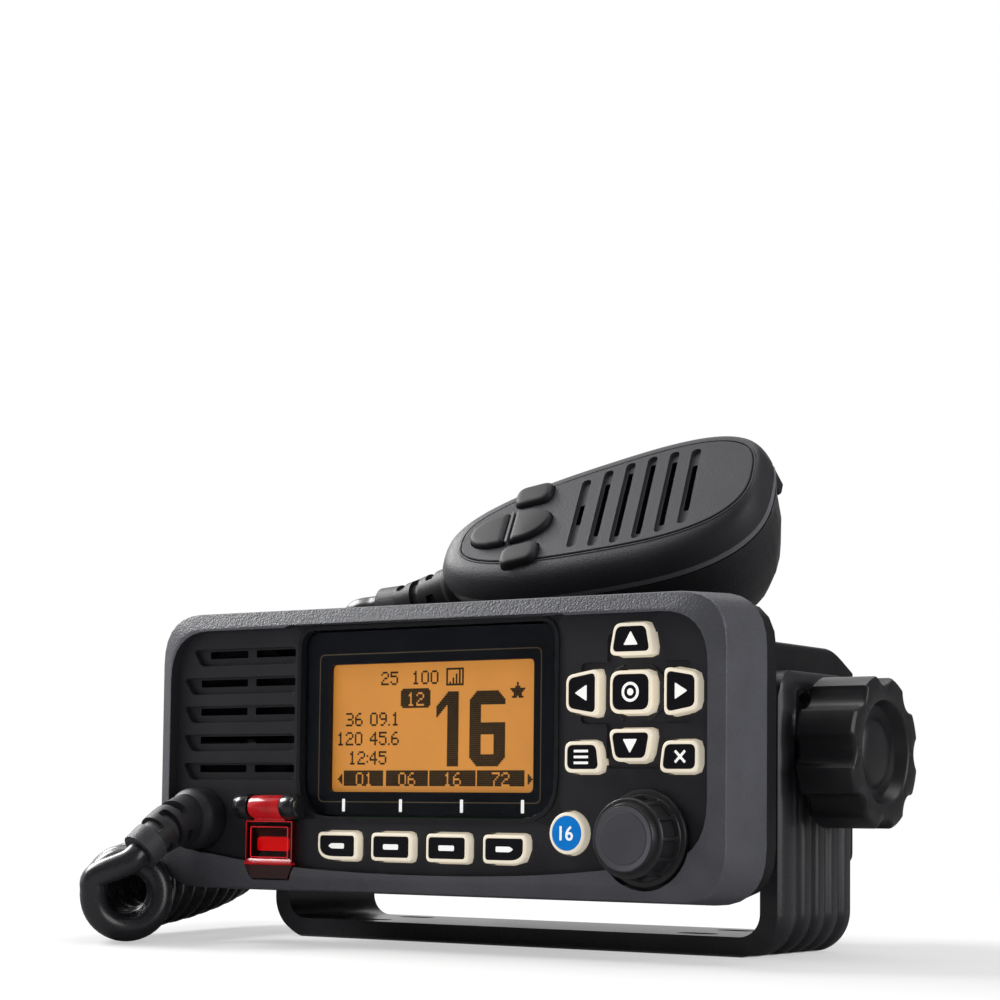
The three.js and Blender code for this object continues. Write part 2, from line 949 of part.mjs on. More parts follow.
function lensSolid() {
  const back = lensFlangeFront - keyCap.flangeThickness;
  const front = faceOut - lens.sink;
  return join(
    plate(windowCorners(keyCap.flange), windowRadii(keyCap.flange), back, lensFlangeFront),
    plate(windowCorners(-clearance), windowRadii(-clearance), back, front),
  );
}
named('display_lens', lensSolid(), plastic('glass'), radio);

function lcdPlate(thickness, front) {
  const half = windowHalf - lcd.sideMargin;
  const seen = span(-half, half, windowBottom + lcd.bottomMargin, windowTop - lcd.topMargin);
  const corners = inset(seen, -lcd.frame);
  return plate(corners, lcd.frame / 2, front - thickness, front, 2);
}
named('lcd_panel', lcdPlate(lcd.thickness, lcdFront), plastic('amber'), radio);
named('backlight', lcdPlate(backlight.thickness, lightFront), plastic('cream'), radio);

// Rubber mat under the keys
function keypadMat() {
  const front = flangeFront - keyCap.flangeThickness - keyTravel - clearance;
  const back = boardFront + clearance;
  const outerKey = softPitch + softPitch / 2 + softWidth / 2;
  const rowTop = softZ + softKey.height / 2 + keyCap.flange;
  const rowBottom = softZ - softKey.height / 2 - keyCap.flange;
  const padLeft = padX - pad.columnPitch - arrowKey.sideWidth / 2 - keyCap.flange;
  const padRight = padX + pad.columnPitch + arrowKey.sideWidth / 2 + keyCap.flange;
  const padBottom = cornerZ - cornerKey.height / 2 - keyCap.flange;
  const sidesTop = padZ + sideHeight / 2 + keyCap.flange;
  const padTop = padZ + rowPitch + arrowHeight / 2 + keyCap.flange;
  const upHalf = arrowKey.long / 2 + keyCap.flange;
  const bridgeRight = roundX + roundKey.radius + keyCap.flange;
  return join(
    plate(span(softKey.centreX - outerKey, bridgeRight, rowBottom, rowTop), mat.margin, back, front, 2),
    plate(span(roundX - roundKey.radius, bridgeRight, rowBottom, sidesTop), mat.margin, back, front, 2),
    plate(span(padLeft, padRight, padBottom, sidesTop), mat.margin, back, front, 2),
    plate(span(padX - upHalf, padX + upHalf, padBottom, padTop), mat.margin, back, front, 2),
  );
}
named('keypad_mat', keypadMat(), plastic('rubber'), radio);

// Volume control: push shaft, knob and encoder
const knobBack = faceOut + keyTravel + clearance;
const skirtTop = knobBack + volume.skirtHeight;
const gripTop = skirtTop + volume.gripHeight;
const knobFront = gripTop + volume.discRise;
const shaftFront = gripTop - clearance * 2;
const encoderFront = faceBack - clearance;
const encoderBack = encoderFront - volume.encoderThickness;

function lobed(radius, valley, lobes, steps, sharpness, at) {
  const points = [];
  for (let i = 0; i < steps; i += 1) {
    const turn = (i / steps) * Math.PI * 2;
    const dip = ((1 + Math.cos(turn * lobes)) / 2) ** sharpness;
    const r = radius - valley * dip;
    points.push(new THREE.Vector2(r * Math.cos(turn), r * Math.sin(turn)));
  }
  return { points, at };
}

function volumeKnob() {
  const steps = volume.flatCount * 4;
  const ring = (radius, valley, at) => lobed(radius, valley, volume.flatCount, steps, 1, at);
  const inner = volume.gripFrontRadius - volume.discInset;
  const body = facing(
    stack([
      ring(volume.skirtRadius, 0, knobBack),
      ring(volume.skirtRadius, 0, skirtTop),
      ring(volume.gripRadius, volume.flatDepth, skirtTop + keyCap.round),
      ring(volume.gripFrontRadius, volume.flatDepth, gripTop),
      ring(inner, 0, gripTop),
      ring(inner - volume.discRise / 2, 0, knobFront),
    ]),
  ).translate(volumeX, 0, volumeZ);
  const bore = volume.shaftRadius + clearance;
  return cut(body, disc(bore, volumeX, volumeZ, knobBack - overrun, shaftFront + clearance, 20));
}
named('volume_knob', volumeKnob(), plastic('black'), radio);
named(
  'volume_shaft',
  disc(volume.shaftRadius, volumeX, volumeZ, encoderBack, shaftFront, 20),
  metal(0xb8bcc0, 0.3),
  radio,
);
named(
  'volume_encoder',
  cut(
    plate(
      box(volume.encoderSize, volume.encoderSize, volumeX, volumeZ),
      keyCap.round,
      encoderBack,
      encoderFront,
      1,
    ),
    disc(volume.shaftRadius + clearance, volumeX, volumeZ, encoderBack - overrun, encoderFront + overrun, 20),
  ),
  metal(0x9da1a5, 0.4),
  radio,
);

// Distress cover on its hinge
function distressCover() {
  const x = distressX;
  const { knuckleRadius, knuckleLength } = distress;
  const knuckle = new THREE.CylinderGeometry(knuckleRadius, knuckleRadius, knuckleLength, 24);
  knuckle.rotateZ(Math.PI / 2).translate(x, -hingeOut, distressZ);
  const leaf = plate(leafCorners(), clearance, coverBack, coverFront, 2);
  const neck = plate(
    span(x - knuckleLength / 2, x + knuckleLength / 2, leafTop - overrun, distressZ),
    clearance,
    coverBack,
    coverFront,
    2,
  );
  const bore = pinHole(distress.pinRadius + clearance, knuckleLength + overrun);
  return cut(join(knuckle, leaf, neck), bore);
}
named('distress_cover', distressCover(), plastic('red'), radio);
const pinLength = distress.knuckleLength + distress.bossLength * 2;
named('distress_hinge_pin', pinHole(distress.pinRadius, pinLength), metal(0xb8bcc0, 0.3), radio);

// Speaker behind the louvres
named(
  'speaker',
  turnedOut(
    [
      [0, encoderFront - speaker.depth],
      [speaker.magnetRadius, encoderFront - speaker.depth],
      [speaker.magnetRadius, encoderFront - speaker.depth / 2],
      [speakerRadius, encoderFront - speaker.rimThickness],
      [speakerRadius, encoderFront],
      [speaker.coneRadius, encoderFront],
      [speaker.magnetRadius / 2, encoderFront - speaker.rimThickness * 2],
      [0, encoderFront - speaker.rimThickness],
    ],
    32,
    speakerX,
    speakerZ,
  ),
  plastic('black'),
  radio,
);

// Main board with its taller parts on the back
const boardShares = [
  [-0.36, 0.3, 0.16, 0.2, 5],
  [-0.05, 0.28, 0.26, 0.26, 7],
  [0.3, 0.26, 0.14, 0.3, 9],
  [-0.3, -0.22, 0.22, 0.34, 4],
  [0.06, -0.26, 0.2, 0.22, 6],
  [0.34, -0.2, 0.12, 0.36, 8],
];

function mainBoard() {
  const height = panel.height - board.endInset * 2;
  const sheet = plate(box(board.width, height, board.x, 0), mat.margin, boardBack, boardFront, 2);
  const tall = boardShares.map(([px, pz, w, h, rise]) =>
    plate(
      box(board.width * w, height * h, board.x + board.width * px, height * pz),
      keyCap.round,
      boardBack - (rise * board.thickness) / 2,
      boardBack + clearance,
      1,
    ),
  );
  return join(sheet, ...tall);
}
named('main_board', mainBoard(), plastic('green'), radio);

// Gasket and cast chassis
const gasketFront = panelBack - clearance;
const flangeFace = gasketFront - gasket.thickness - clearance;
const flangeRear = flangeFace - chassis.flangeThickness;
const outerPanel = box(panel.width, panel.height);

named(
  'panel_gasket',
  cut(
    plate(
      inset(outerPanel, gasket.inset),
      panel.cornerRadius - gasket.inset,
      gasketFront - gasket.thickness,
      gasketFront,
    ),
    plate(
      inset(outerPanel, gasket.inset + gasket.width),
      panel.cornerRadius - gasket.inset - gasket.width,
      flangeFace,
      panelBack,
    ),
    ...postSigns.map(([sx, sz]) =>
      disc(post.radius + clearance, sx * postX, sz * postZ, flangeFace, panelBack, 12),
    ),
  ),
  plastic('rubber'),
  radio,
);

function sideSlab(profile, halfWidth) {
  const shape = new THREE.Shape(profile.map(([y, z]) => new THREE.Vector2(y, z)));
  const geometry = new THREE.ExtrudeGeometry(shape, { depth: halfWidth * 2, bevelEnabled: false });
  geometry.translate(0, 0, -halfWidth);
  return geometry.applyMatrix4(new THREE.Matrix4().set(0, 0, 1, 0, 1, 0, 0, 0, 0, 1, 0, 0, 0, 0, 0, 1));
}

function crossBar(radius, from, to, steps) {
  const length = to - from;
  return new THREE.CylinderGeometry(radius, radius, length, steps)
    .rotateZ(Math.PI / 2)
    .translate(from + length / 2, 0, 0);
}

const chassisWidth = panel.width - chassis.sideStep * 2;
const chassisHeight = panel.height - chassis.heightStep * 2;
const bossOut = chassisWidth / 2 + chassis.bossHeight;

function rearChassis() {
  const top = chassisHeight / 2;
  const slope = chassis.slopeDrop / (chassis.rear - chassis.slopeStart);
  const wall = chassis.flangeThickness - overrun;
  const low = top - chassis.slopeDrop - wall;
  const block = plate(
    box(chassisWidth, chassisHeight),
    chassis.edgeRadius,
    -chassis.rear,
    flangeRear + overrun,
  );
  const fins = plate(
    box(sink.width, sink.height, 0, sink.z),
    chassis.edgeRadius,
    -sink.rear,
    -chassis.rear + overrun,
  );
  const wedge = sideSlab(
    [
      [chassis.slopeStart, top],
      [chassis.rear + overrun, top - chassis.slopeDrop - slope * overrun],
      [chassis.rear + overrun, top + overrun],
      [chassis.slopeStart, top + overrun],
    ],
    chassisWidth,
  );
  const flange = plate(
    inset(outerPanel, chassis.flangeInset),
    panel.cornerRadius - chassis.flangeInset,
    flangeRear,
    flangeFace,
  );
  const hollow = sideSlab(
    [
      [-flangeFace - overrun, -top + wall],
      [chassis.rear - wall, -top + wall],
      [chassis.rear - wall, low],
      [chassis.slopeStart - wall, low],
      [chassis.slopeStart - wall, top - wall],
      [-flangeFace - overrun, top - wall],
    ],
    chassisWidth / 2 - wall,
  );
  const pillars = [-1, 1].map((side) => {
    const tip = side * (bossOut - chassis.studHoleDepth - wall);
    const from = Math.min(tip, side * bossOut);
    return crossBar(clampKnob.studRadius + wall, from, from + chassis.studHoleDepth + wall, 20);
  });
  const bosses = [-1, 1].map((side) => {
    const from = Math.min(side * bossOut, side * (bossOut - wall));
    return crossBar(chassis.bossRadius, from, from + wall, 32);
  });
  const studHoles = [-1, 1].map((side) => {
    const inner = side * (bossOut - chassis.studHoleDepth);
    const from = Math.min(inner, side * (bossOut + overrun));
    return crossBar(clampKnob.studRadius + clearance, from, from + chassis.studHoleDepth + overrun, 20);
  });
  const grooves = [];
  const step = sink.width / sink.finCount;
  for (let i = 1; i < sink.finCount; i += 1) {
    const groove = sideSlab(
      [
        [chassis.rear + sink.finRoot, sink.finFloor],
        [sink.rear + overrun, sink.finFloor],
        [sink.rear + overrun, top],
        [chassis.rear + sink.finRoot, top],
      ],
      (step - sink.finThickness) / 2,
    );
    grooves.push(groove.translate(-sink.width / 2 + step * i, 0, 0));
  }
  const holeFrom = -sink.rear - overrun;
  const holeTo = -sink.rear + wall * 2;
  const shankHole = screw.shankRadius + clearance;
  const openings = [
    disc(antenna.barrelRadius + clearance, antenna.x, antenna.z, holeFrom, holeTo, 24),
    disc(inlet.radius + clearance, inlet.x, inlet.z, holeFrom, holeTo, 24),
    ...postSigns.map(([sx, sz]) =>
      disc(shankHole, sx * postX, sz * postZ, flangeRear - overrun, flangeFace + overrun, 12),
    ),
  ];
  const cast = join(cut(join(block, flange), wedge, hollow), fins);
  return cut(join(cast, ...pillars, ...bosses), ...studHoles, ...grooves, ...openings);
}
named('rear_chassis', rearChassis(), plastic('castAlloy'), radio);

postSigns.forEach(([sx, sz], i) => {
  const head = flangeRear - clearance;
  const tip = head + screw.length - screw.headHeight;
  const geometry = turnedOut(
    [
      [0, head - screw.headHeight],
      [screw.headRadius - keyCap.round, head - screw.headHeight],
      [screw.headRadius, head - screw.headHeight + keyCap.round],
      [screw.headRadius, head],
      [screw.shankRadius, head],
      [screw.shankRadius, tip],
      [0, tip],
    ],
    12,
    sx * postX,
    sz * postZ,
  );
  named(`panel_screw_${i + 1}`, geometry, metal(0xb8bcc0, 0.35), radio);
});

// Rear sockets
const rearOut = -sink.rear;

function socket(part, flangeRadius) {
  const face = rearOut - clearance;
  const end = face - part.length;
  const innerEnd = rearOut + part.seat * 2;
  return turnedOut(
    [
      [0, innerEnd],
      [part.spigot, innerEnd],
      [part.spigot, face],
      [flangeRadius, face],
      [flangeRadius, face - part.seat],
      [part.spigot, face - part.seat],
      [part.spigot, end],
      [part.boreRadius, end],
      [part.boreRadius, face],
      [part.boreRadius / 2, face],
      [part.boreRadius / 2, face - part.seat * 2],
      [0, face - part.seat * 2],
    ],
    24,
    part.x,
    part.z,
  );
}
const antennaForm = { ...antenna, spigot: antenna.barrelRadius };
const inletForm = { ...inlet, spigot: inlet.radius };
named('antenna_socket', socket(antennaForm, antenna.flange / 2), metal(0xc2c5c9, 0.25), radio);
named('power_inlet', socket(inletForm, inlet.radius + inlet.seat), plastic('black'), radio);

// Bracket
const bracketInner = bossOut + clearance;
const bracketOuter = bracketInner + bracket.armThickness;

function bracketSolid() {
  const { outerRadius: outerR, armTop: top, baseThickness: base, depth } = bracket;
  const side = prism(
    roundedShape(span(-bracketOuter, bracketOuter, 0, top + outerR), outerR),
    -depth / 2,
    depth / 2,
    6,
  );
  const inner = prism(
    roundedShape(span(-bracketInner, bracketInner, base, top + outerR), outerR - base),
    -depth,
    depth,
    6,
  );
  const arch = cut(facing(side), facing(inner));
  const sideRadii = [clearance, clearance, bracket.topRadius, bracket.topRadius];
  const sideView = roundedShape(box(depth, top, 0, top / 2), sideRadii);
  const silhouette = sideSlab(
    outline(sideView).map((point) => [point.x, point.y]),
    bracketOuter + overrun,
  );
  const grooves = [];
  const run = depth - bracket.beadDepth;
  for (let i = 0; i < bracket.ribCount; i += 1) {
    const front = depth / 2 - bracket.beadDepth - (run / bracket.ribCount) * i;
    const outerSkin = prism(
      roundedShape(span(-bracketOuter - outerR, bracketOuter + outerR, -outerR, top + outerR), overrun),
      front - bracket.ribGap,
      front,
      1,
    );
    const skinHalf = bracketOuter - bracket.ribRise;
    const skin = roundedShape(
      span(-skinHalf, skinHalf, bracket.ribRise, top + outerR * 2),
      outerR - bracket.ribRise,
    );
    const keepFlat = prism(
      roundedShape(span(-bracketOuter + outerR, bracketOuter - outerR, -outerR, base), clearance),
      front - depth,
      front + depth,
      2,
    );
    const kept = prism(skin, front - depth, front + depth, 6);
    grooves.push(cut(facing(outerSkin), facing(kept), facing(keepFlat)));
  }
  const holes = [
    crossBar(clampKnob.boltHoleRadius, -bracketOuter - overrun, bracketOuter + overrun, 24).translate(
      0,
      0,
      gimbal.axisHeight,
    ),
    crossBar(bracket.indexHoleRadius, -bracketOuter - overrun, bracketOuter + overrun, 10).translate(
      0,
      -bracket.indexHoleY,
      gimbal.axisHeight + bracket.indexHoleRise,
    ),
  ];
  for (const [sx, sy] of postSigns) {
    const place = [sx * bracket.screwX, sy * bracket.screwY];
    const slot = slotShape(bracket.screwRadius, bracket.screwSlot, ...place);
    holes.push(prism(slot, -overrun, base + overrun, 8));
  }
  return cut(common(arch, silhouette), ...grooves, ...holes);
}
named('bracket', bracketSolid(), plastic('black'), root);

// Clamp knobs and washers, one each side
function clampKnobSolid() {
  const steps = clampKnob.lobeCount * 6;
  const ring = (distance, at) =>
    lobed(clampKnob.radius - distance, clampKnob.valley, clampKnob.lobeCount, steps, 3, at);
  const { length, edgeRound: e } = clampKnob;
  const body = stack([ring(e, 0), ring(0, e), ring(0, length - e), ring(e, length)]);
  const dish = turned(
    [
      [0, length - clampKnob.dishDepth + clampKnob.domeRise],
      [clampKnob.domeRadius / 2, length - clampKnob.dishDepth + clampKnob.domeRise],
      [clampKnob.domeRadius, length - clampKnob.dishDepth + clampKnob.domeRise / 2],
      [clampKnob.domeRadius + e / 2, length - clampKnob.dishDepth],
      [clampKnob.dishRadius - e, length - clampKnob.dishDepth],
      [clampKnob.dishRadius, length],
      [clampKnob.dishRadius, length + overrun],
      [0, length + overrun],
    ],
    32,
  ).rotateX(Math.PI / 2);
  const reach = clampKnob.studReach + chassisToKnob;
  const stud = new THREE.CylinderGeometry(clampKnob.studRadius, clampKnob.studRadius, reach + e, 20);
  stud.rotateX(Math.PI / 2).translate(0, 0, e / 2 - reach / 2);
  return join(cut(body, dish), stud);
}

const washerX = bracketOuter + clearance;
const knobX = washerX + washer.thickness + clearance;
const chassisToKnob = knobX - bossOut;

function washerSolid() {
  const hole = clampKnob.studRadius + clearance;
  return turned(
    [
      [hole, 0],
      [washer.radius, 0],
      [washer.radius, washer.thickness],
      [hole, washer.thickness],
      [hole, 0],
    ],
    32,
  ).rotateX(Math.PI / 2);
}

for (const [side, label] of [
  [-1, 'left'],
  [1, 'right'],
]) {
  const place = (geometry, x) => geometry.rotateY((side * Math.PI) / 2).translate(side * x, 0, 0);
  named(`clamp_knob_${label}`, place(clampKnobSolid(), knobX), plastic('black'), radio);
  named(`clamp_washer_${label}`, place(washerSolid(), washerX), metal(0xb8bcc0, 0.35), radio);
}

// Tubes along a route, with a radius at each station
function vectors(points) {
  return points.map((point) => new THREE.Vector3(...point));
}

function transported(points) {
  const frames = [];
  let side = new THREE.Vector3();
  points.forEach((point, i) => {
    const ahead = points[Math.min(i + 1, points.length - 1)];
    const behind = points[Math.max(i - 1, 0)];
    const along = ahead.clone().sub(behind).normalize();
    if (i === 0) side = new THREE.Vector3(0, 0, 1).cross(along);
    side.addScaledVector(along, -side.dot(along)).normalize();
    frames.push({ point, along, side: side.clone(), up: along.clone().cross(side) });
  });
  return frames;
}

function sweep(points, radii, sides) {
  const positions = [];
  const index = [];
  const frames = transported(points);
  frames.forEach(({ point, side, up }, r) => {
    for (let k = 0; k < sides; k += 1) {
      const turn = (k / sides) * Math.PI * 2;
      const vertex = point.clone();
      vertex.addScaledVector(side, radii[r] * Math.cos(turn));
      vertex.addScaledVector(up, radii[r] * Math.sin(turn));
      positions.push(...vertex.toArray());
    }
  });
  for (let r = 0; r < frames.length - 1; r += 1) {
    for (let k = 0; k < sides; k += 1) {
      const a = r * sides + k;
      const b = r * sides + ((k + 1) % sides);
      index.push(a, b, b + sides, a, b + sides, a + sides);
    }
  }
  const last = (frames.length - 1) * sides;
  for (let k = 1; k < sides - 1; k += 1) {
    index.push(0, k + 1, k);
    index.push(last, last + k, last + k + 1);
  }
  const geometry = new THREE.BufferGeometry();
  geometry.setAttribute('position', new THREE.BufferAttribute(new Float32Array(positions), 3));
  geometry.setIndex(index);
  return geometry;
}

// Strain relief: a plain root, then bending rings up to a collar
function strainRelief(route, rootRadius) {
  const curve = new THREE.CatmullRomCurve3(vectors(route));
  const points = [];
  const radii = [];
  const add = (t, radius) => {
    points.push(curve.getPointAt(t));
    radii.push(radius);
  };
  const { rootShare, collarShare, grooveStart, grooveEnd, ringStart } = boot;
  const ringSpan = (1 - rootShare - collarShare) / boot.ringCount;
  add(0, rootRadius);
  add(rootShare / 2, rootRadius);
  add(rootShare, boot.ringRadius);
  for (let i = 0; i < boot.ringCount; i += 1) {
    const start = rootShare + ringSpan * i;
    const narrowing = (boot.ringRadius - boot.tipRadius) * ((i + 1) / boot.ringCount);
    add(start + ringSpan * grooveStart, boot.coreRadius);
    add(start + ringSpan * grooveEnd, boot.coreRadius);
    add(start + ringSpan * ringStart, boot.ringRadius - narrowing);
    add(start + ringSpan, boot.ringRadius - narrowing);
  }
  add(boot.tipShare, boot.tipRadius);
  add(1, boot.tipRadius);
  return sweep(points, radii, boot.sides);
}

const beside = ([x, y, z]) => [glandX + x, y, z];
const glandRoute = cordRoute.gland.map(([x, y, z]) => [glandX + x, y, gimbal.axisHeight + glandZ + z]);

function inRadio(points) {
  return points.map(([x, y, z]) => [x, y, z - gimbal.axisHeight]);
}

function glandSolid() {
  const relief = strainRelief(inRadio(glandRoute), gland.bossRadius - gland.flangeThickness);
  const seat = turnedOut(
    [
      [0, faceBack - gland.flangeThickness - clearance],
      [gland.flangeRadius, faceBack - gland.flangeThickness - clearance],
      [gland.flangeRadius, faceBack - clearance],
      [gland.neckRadius, faceBack - clearance],
      [gland.neckRadius, faceOut + clearance],
      [gland.bossRadius, faceOut + clearance],
      [gland.bossRadius, faceOut + gland.bossLength],
      [gland.bossRadius - gland.flangeThickness, faceOut + gland.bossLength + gland.flangeThickness],
      [0, faceOut + gland.bossLength + gland.flangeThickness],
    ],
    24,
    glandX,
    glandZ,
  );
  return join(seat, relief);
}
named('cord_gland', glandSolid(), plastic('rubber'), radio);

// Curly cord: a helix about a curved axis, its pitch opened where the axis bends
const tubeRadius = cord.diameter / 2;

function helixPoints() {
  const axis = new THREE.CatmullRomCurve3(vectors(cordRoute.axis.map(beside)), false, 'centripetal');
  const fine = 600;
  const samples = [];
  for (let i = 0; i <= fine; i += 1) samples.push(axis.getPointAt(i / fine));
  const frames = transported(samples);
  const step = axis.getLength() / fine;
  const turns = [0];
  for (let i = 1; i <= fine; i += 1) {
    const bend = frames[i].along.angleTo(frames[i - 1].along) / step;
    const pitch = cord.pitch * (1 + bend * (cord.coilRadius + tubeRadius));
    turns.push(turns[i - 1] + step / pitch);
  }
  const total = Math.floor(turns[fine] - cord.endShare) + cord.endShare;
  const scale = total / turns[fine];
  const points = [];
  const count = total * cord.stepsPerTurn;
  let cursor = 0;
  for (let k = 0; k <= count; k += 1) {
    const wanted = k / cord.stepsPerTurn;
    while (cursor < fine && turns[cursor] * scale < wanted - 1e-9) cursor += 1;
    const { point, side, up } = frames[cursor];
    const turn = cord.startAngle - wanted * Math.PI * 2;
    const vertex = point.clone();
    vertex.addScaledVector(side, cord.coilRadius * Math.cos(turn));
    vertex.addScaledVector(up, cord.coilRadius * Math.sin(turn));
    points.push(vertex);
  }
  return points;
}

function leastSelfGap(points) {
  let least = Infinity;
  const skip = Math.floor(cord.stepsPerTurn / 2);
  const segment = new THREE.Line3();
  const nearest = new THREE.Vector3();
  for (let i = 0; i < points.length - 1; i += 1) {
    segment.set(points[i], points[i + 1]);
    for (let j = i + skip; j < points.length; j += 1) {
      segment.closestPointToPoint(points[j], true, nearest);
      least = Math.min(least, nearest.distanceTo(points[j]) - cord.diameter);
    }
  }
  return least;
}

const coil = helixPoints();
console.log(`curly cord: least self-gap ${leastSelfGap(coil).toFixed(2)} mm`);
named('cord_curls', sweep(coil, coil.map(() => tubeRadius), cord.sides), plastic('rubber'), root);

function tube(from, fromDirection, to, toDirection, through) {
  const start = from.clone().addScaledVector(fromDirection, clearance);
  const end = to.clone().addScaledVector(toDirection, -clearance);
  const first = start.clone().addScaledVector(fromDirection, cord.diameter / 2);
  const last = end.clone().addScaledVector(toDirection, -cord.diameter / 2);
  const curve = new THREE.CatmullRomCurve3([start, first, ...through, last, end], false, 'centripetal');
  const shape = circle(tubeRadius);
  const steps = Math.max(4, Math.ceil(curve.getLength() / cord.diameter));
  const geometry = new THREE.ExtrudeGeometry(shape, {
    steps,
    curveSegments: cord.tubeSides,
    bevelEnabled: false,
    extrudePath: curve,
  });
  return geometry.translate(0, 0, -gimbal.axisHeight);
}

function direction(points, i, j) {
  return points[j].clone().sub(points[i]).normalize();
}

function mouth(route) {
  const curve = new THREE.CatmullRomCurve3(vectors(route));
  return { at: curve.getPointAt(1), out: curve.getTangentAt(1) };
}

const glandMouth = mouth(glandRoute);
const bootMouth = mouth(cordRoute.boot);
named(
  'cord_lead',
  tube(glandMouth.at, glandMouth.out, coil[0], direction(coil, 0, 1), []),
  plastic('rubber'),
  radio,
);
named(
  'cord_tail',
  tube(
    coil[coil.length - 1],
    direction(coil, coil.length - 2, coil.length - 1),
    bootMouth.at,
    bootMouth.out.negate(),
    vectors([beside(cordRoute.approach)]),
  ),
  plastic('rubber'),
  radio,
);

// Microphone, drawn flat: X to its head, Y to the talk key side, Z out of its face
const micGroup = new THREE.Group();
micGroup.position.set(mic.x, mic.y, mic.z);
micGroup.rotation.set(
  THREE.MathUtils.degToRad(mic.rollDegrees),
  THREE.MathUtils.degToRad(mic.pitchDegrees),
  THREE.MathUtils.degToRad(mic.yawDegrees),
  'ZYX',
);
micGroup.updateMatrix();
radio.add(micGroup);

function egg(tail, head, tailHalf, headHalf, at, steps = 40) {
  const centre = (tail + head) / 2;
  const half = (head - tail) / 2;
  const power = 2 / mic.roundness;
  const points = [];
  for (let i = 0; i < steps; i += 1) {
    const turn = (i / steps) * Math.PI * 2;
    const c = Math.cos(turn);
    const s = Math.sin(turn);
    const u = half * Math.sign(c) * Math.abs(c) ** power;
    const width = tailHalf + (headHalf - tailHalf) * (u / half / 2 + 1 / 2);
    points.push(new THREE.Vector2(centre + u, width * Math.sign(s) * Math.abs(s) ** power));
  }
  return { points, at };
}

function body(distance, at) {
  return egg(
    mic.tail + distance,
    mic.head - distance,
    mic.tailHalf - distance,
    mic.headHalf - distance,
    at,
  );
}

function plateau(distance, at) {
  return egg(
    mic.plateauTail + distance,
    mic.plateauHead - distance,
    mic.plateauTailHalf - distance,
    mic.plateauHeadHalf - distance,
    at,
  );
}

function between(share, at) {
  const mix = (a, b) => a + (b - a) * share;
  return egg(
    mix(mic.tail, mic.plateauTail),
    mix(mic.head, mic.plateauHead),
    mix(mic.tailHalf, mic.plateauTailHalf),
    mix(mic.headHalf, mic.plateauHeadHalf),
    at,
  );
}

const rise = -mic.seam;
const shoulderShares = [
  [0, 0],
  [0.12, 0.42],
  [0.4, 0.76],
  [0.8, 0.92],
];

function frontForm() {
  return shoulderShares.map(([share, up]) => between(share, mic.seam + rise * up));
}

function placedSlot(i) {
  const u = micSlot.first + micSlot.pitch * i;
  const half = micSlotHalves[i];
  const groove = prism(
    roundedShape(box(micSlot.width, half * 2, u, 0), micSlot.width / 2),
    -micSlot.depth,
    overrun,
    2,
  );
  const slitHalf = half * micSlitShares[i];
  const slit = prism(
    roundedShape(box(micSlot.slitWidth, slitHalf * 2, u, 0), micSlot.slitWidth / 2),
    -rise,
    overrun,
    1,
  );
  return [groove, slit];
}

const micFlangeFront = -mic.wall - clearance;

function micKeyRing(corners, radii, distance, at) {
  return { points: outline(roundedShape(inset(corners, distance), grown(radii, -distance / 2)), 3), at };
}

function halfOval(direction) {
  const { rockerX: x, rockerHalfLength: l, rockerHalfWidth: w, rockerGap: g } = micKey;
  const near = x + (direction * g) / 2;
  const far = x + direction * l;
  const bend = x + (direction * (l + g)) / 2;
  const corners = [
    [near, -w],
    [bend, -w],
    [far, -w / 3],
    [far, w / 3],
    [bend, w],
    [near, w],
  ];
  return { corners: direction > 0 ? corners : corners.reverse(), radii: micKey.radius / 2 };
}

const micKeys = {
  mic_key_far: {
    corners: box(micKey.sideLength, micKey.sideWidth, micKey.sideX, micKey.sideY),
    radii: micKey.radius,
  },
  mic_key_near: {
    corners: box(micKey.sideLength, micKey.sideWidth, micKey.sideX, -micKey.sideY),
    radii: micKey.radius,
  },
  mic_key_down: halfOval(-1),
  mic_key_up: halfOval(1),
};

function micKeySolid({ corners, radii }) {
  const ring = (distance, at) => micKeyRing(corners, radii, distance, at);
  return stack([
    ring(-keyCap.flange / 2, micFlangeFront - keyCap.flangeThickness),
    ring(-keyCap.flange / 2, micFlangeFront),
    ring(clearance, micFlangeFront),
    ring(clearance, micKey.rise - keyCap.inlay),
    ring(clearance + keyCap.round, micKey.rise - clearance),
    ring(clearance + keyCap.inlay * 2, micKey.rise),
  ]);
}

const micInverse = micGroup.matrix.clone().invert();

function bootHole() {
  const curve = new THREE.CatmullRomCurve3(vectors(inRadio(cordRoute.boot)));
  const radius = boot.rootRadius + boot.holeGap;
  const points = boot.holeShares.map((share) => curve.getPointAt(share));
  points.unshift(points[0].clone().addScaledVector(curve.getTangentAt(0), -boot.rootRadius));
  return sweep(points, points.map(() => radius), boot.holeSides).applyMatrix4(micInverse);
}

function micFrontShell() {
  const outer = stack([...frontForm(), plateau(0, -clearance), plateau(clearance, 0)]);
  const inner = stack([
    body(mic.wall, mic.seam - overrun),
    body(mic.wall, mic.seam),
    between(mic.innerShare, mic.seam + rise * mic.innerRise),
    plateau(mic.wall, -mic.wall),
  ]);
  const slots = micSlotHalves.flatMap((_, i) => placedSlot(i));
  const wells = Object.values(micKeys).map(({ corners, radii }) =>
    stack([
      { points: outline(roundedShape(corners, radii), 4), at: -rise },
      { points: outline(roundedShape(corners, radii), 4), at: overrun },
    ]),
  );
  const pockets = Object.values(micKeys).map(({ corners, radii }) =>
    prism(
      roundedShape(inset(corners, -keyCap.flange), grown(radii, keyCap.flange / 2)),
      mic.seam,
      -mic.wall,
      3,
    ),
  );
  return cut(outer, inner, ...slots, ...wells, ...pockets, bootHole());
}
named('mic_front_shell', micFrontShell(), plastic('mic'), micGroup);
for (const [name, key] of Object.entries(micKeys)) named(name, micKeySolid(key), plastic('rubber'), micGroup);

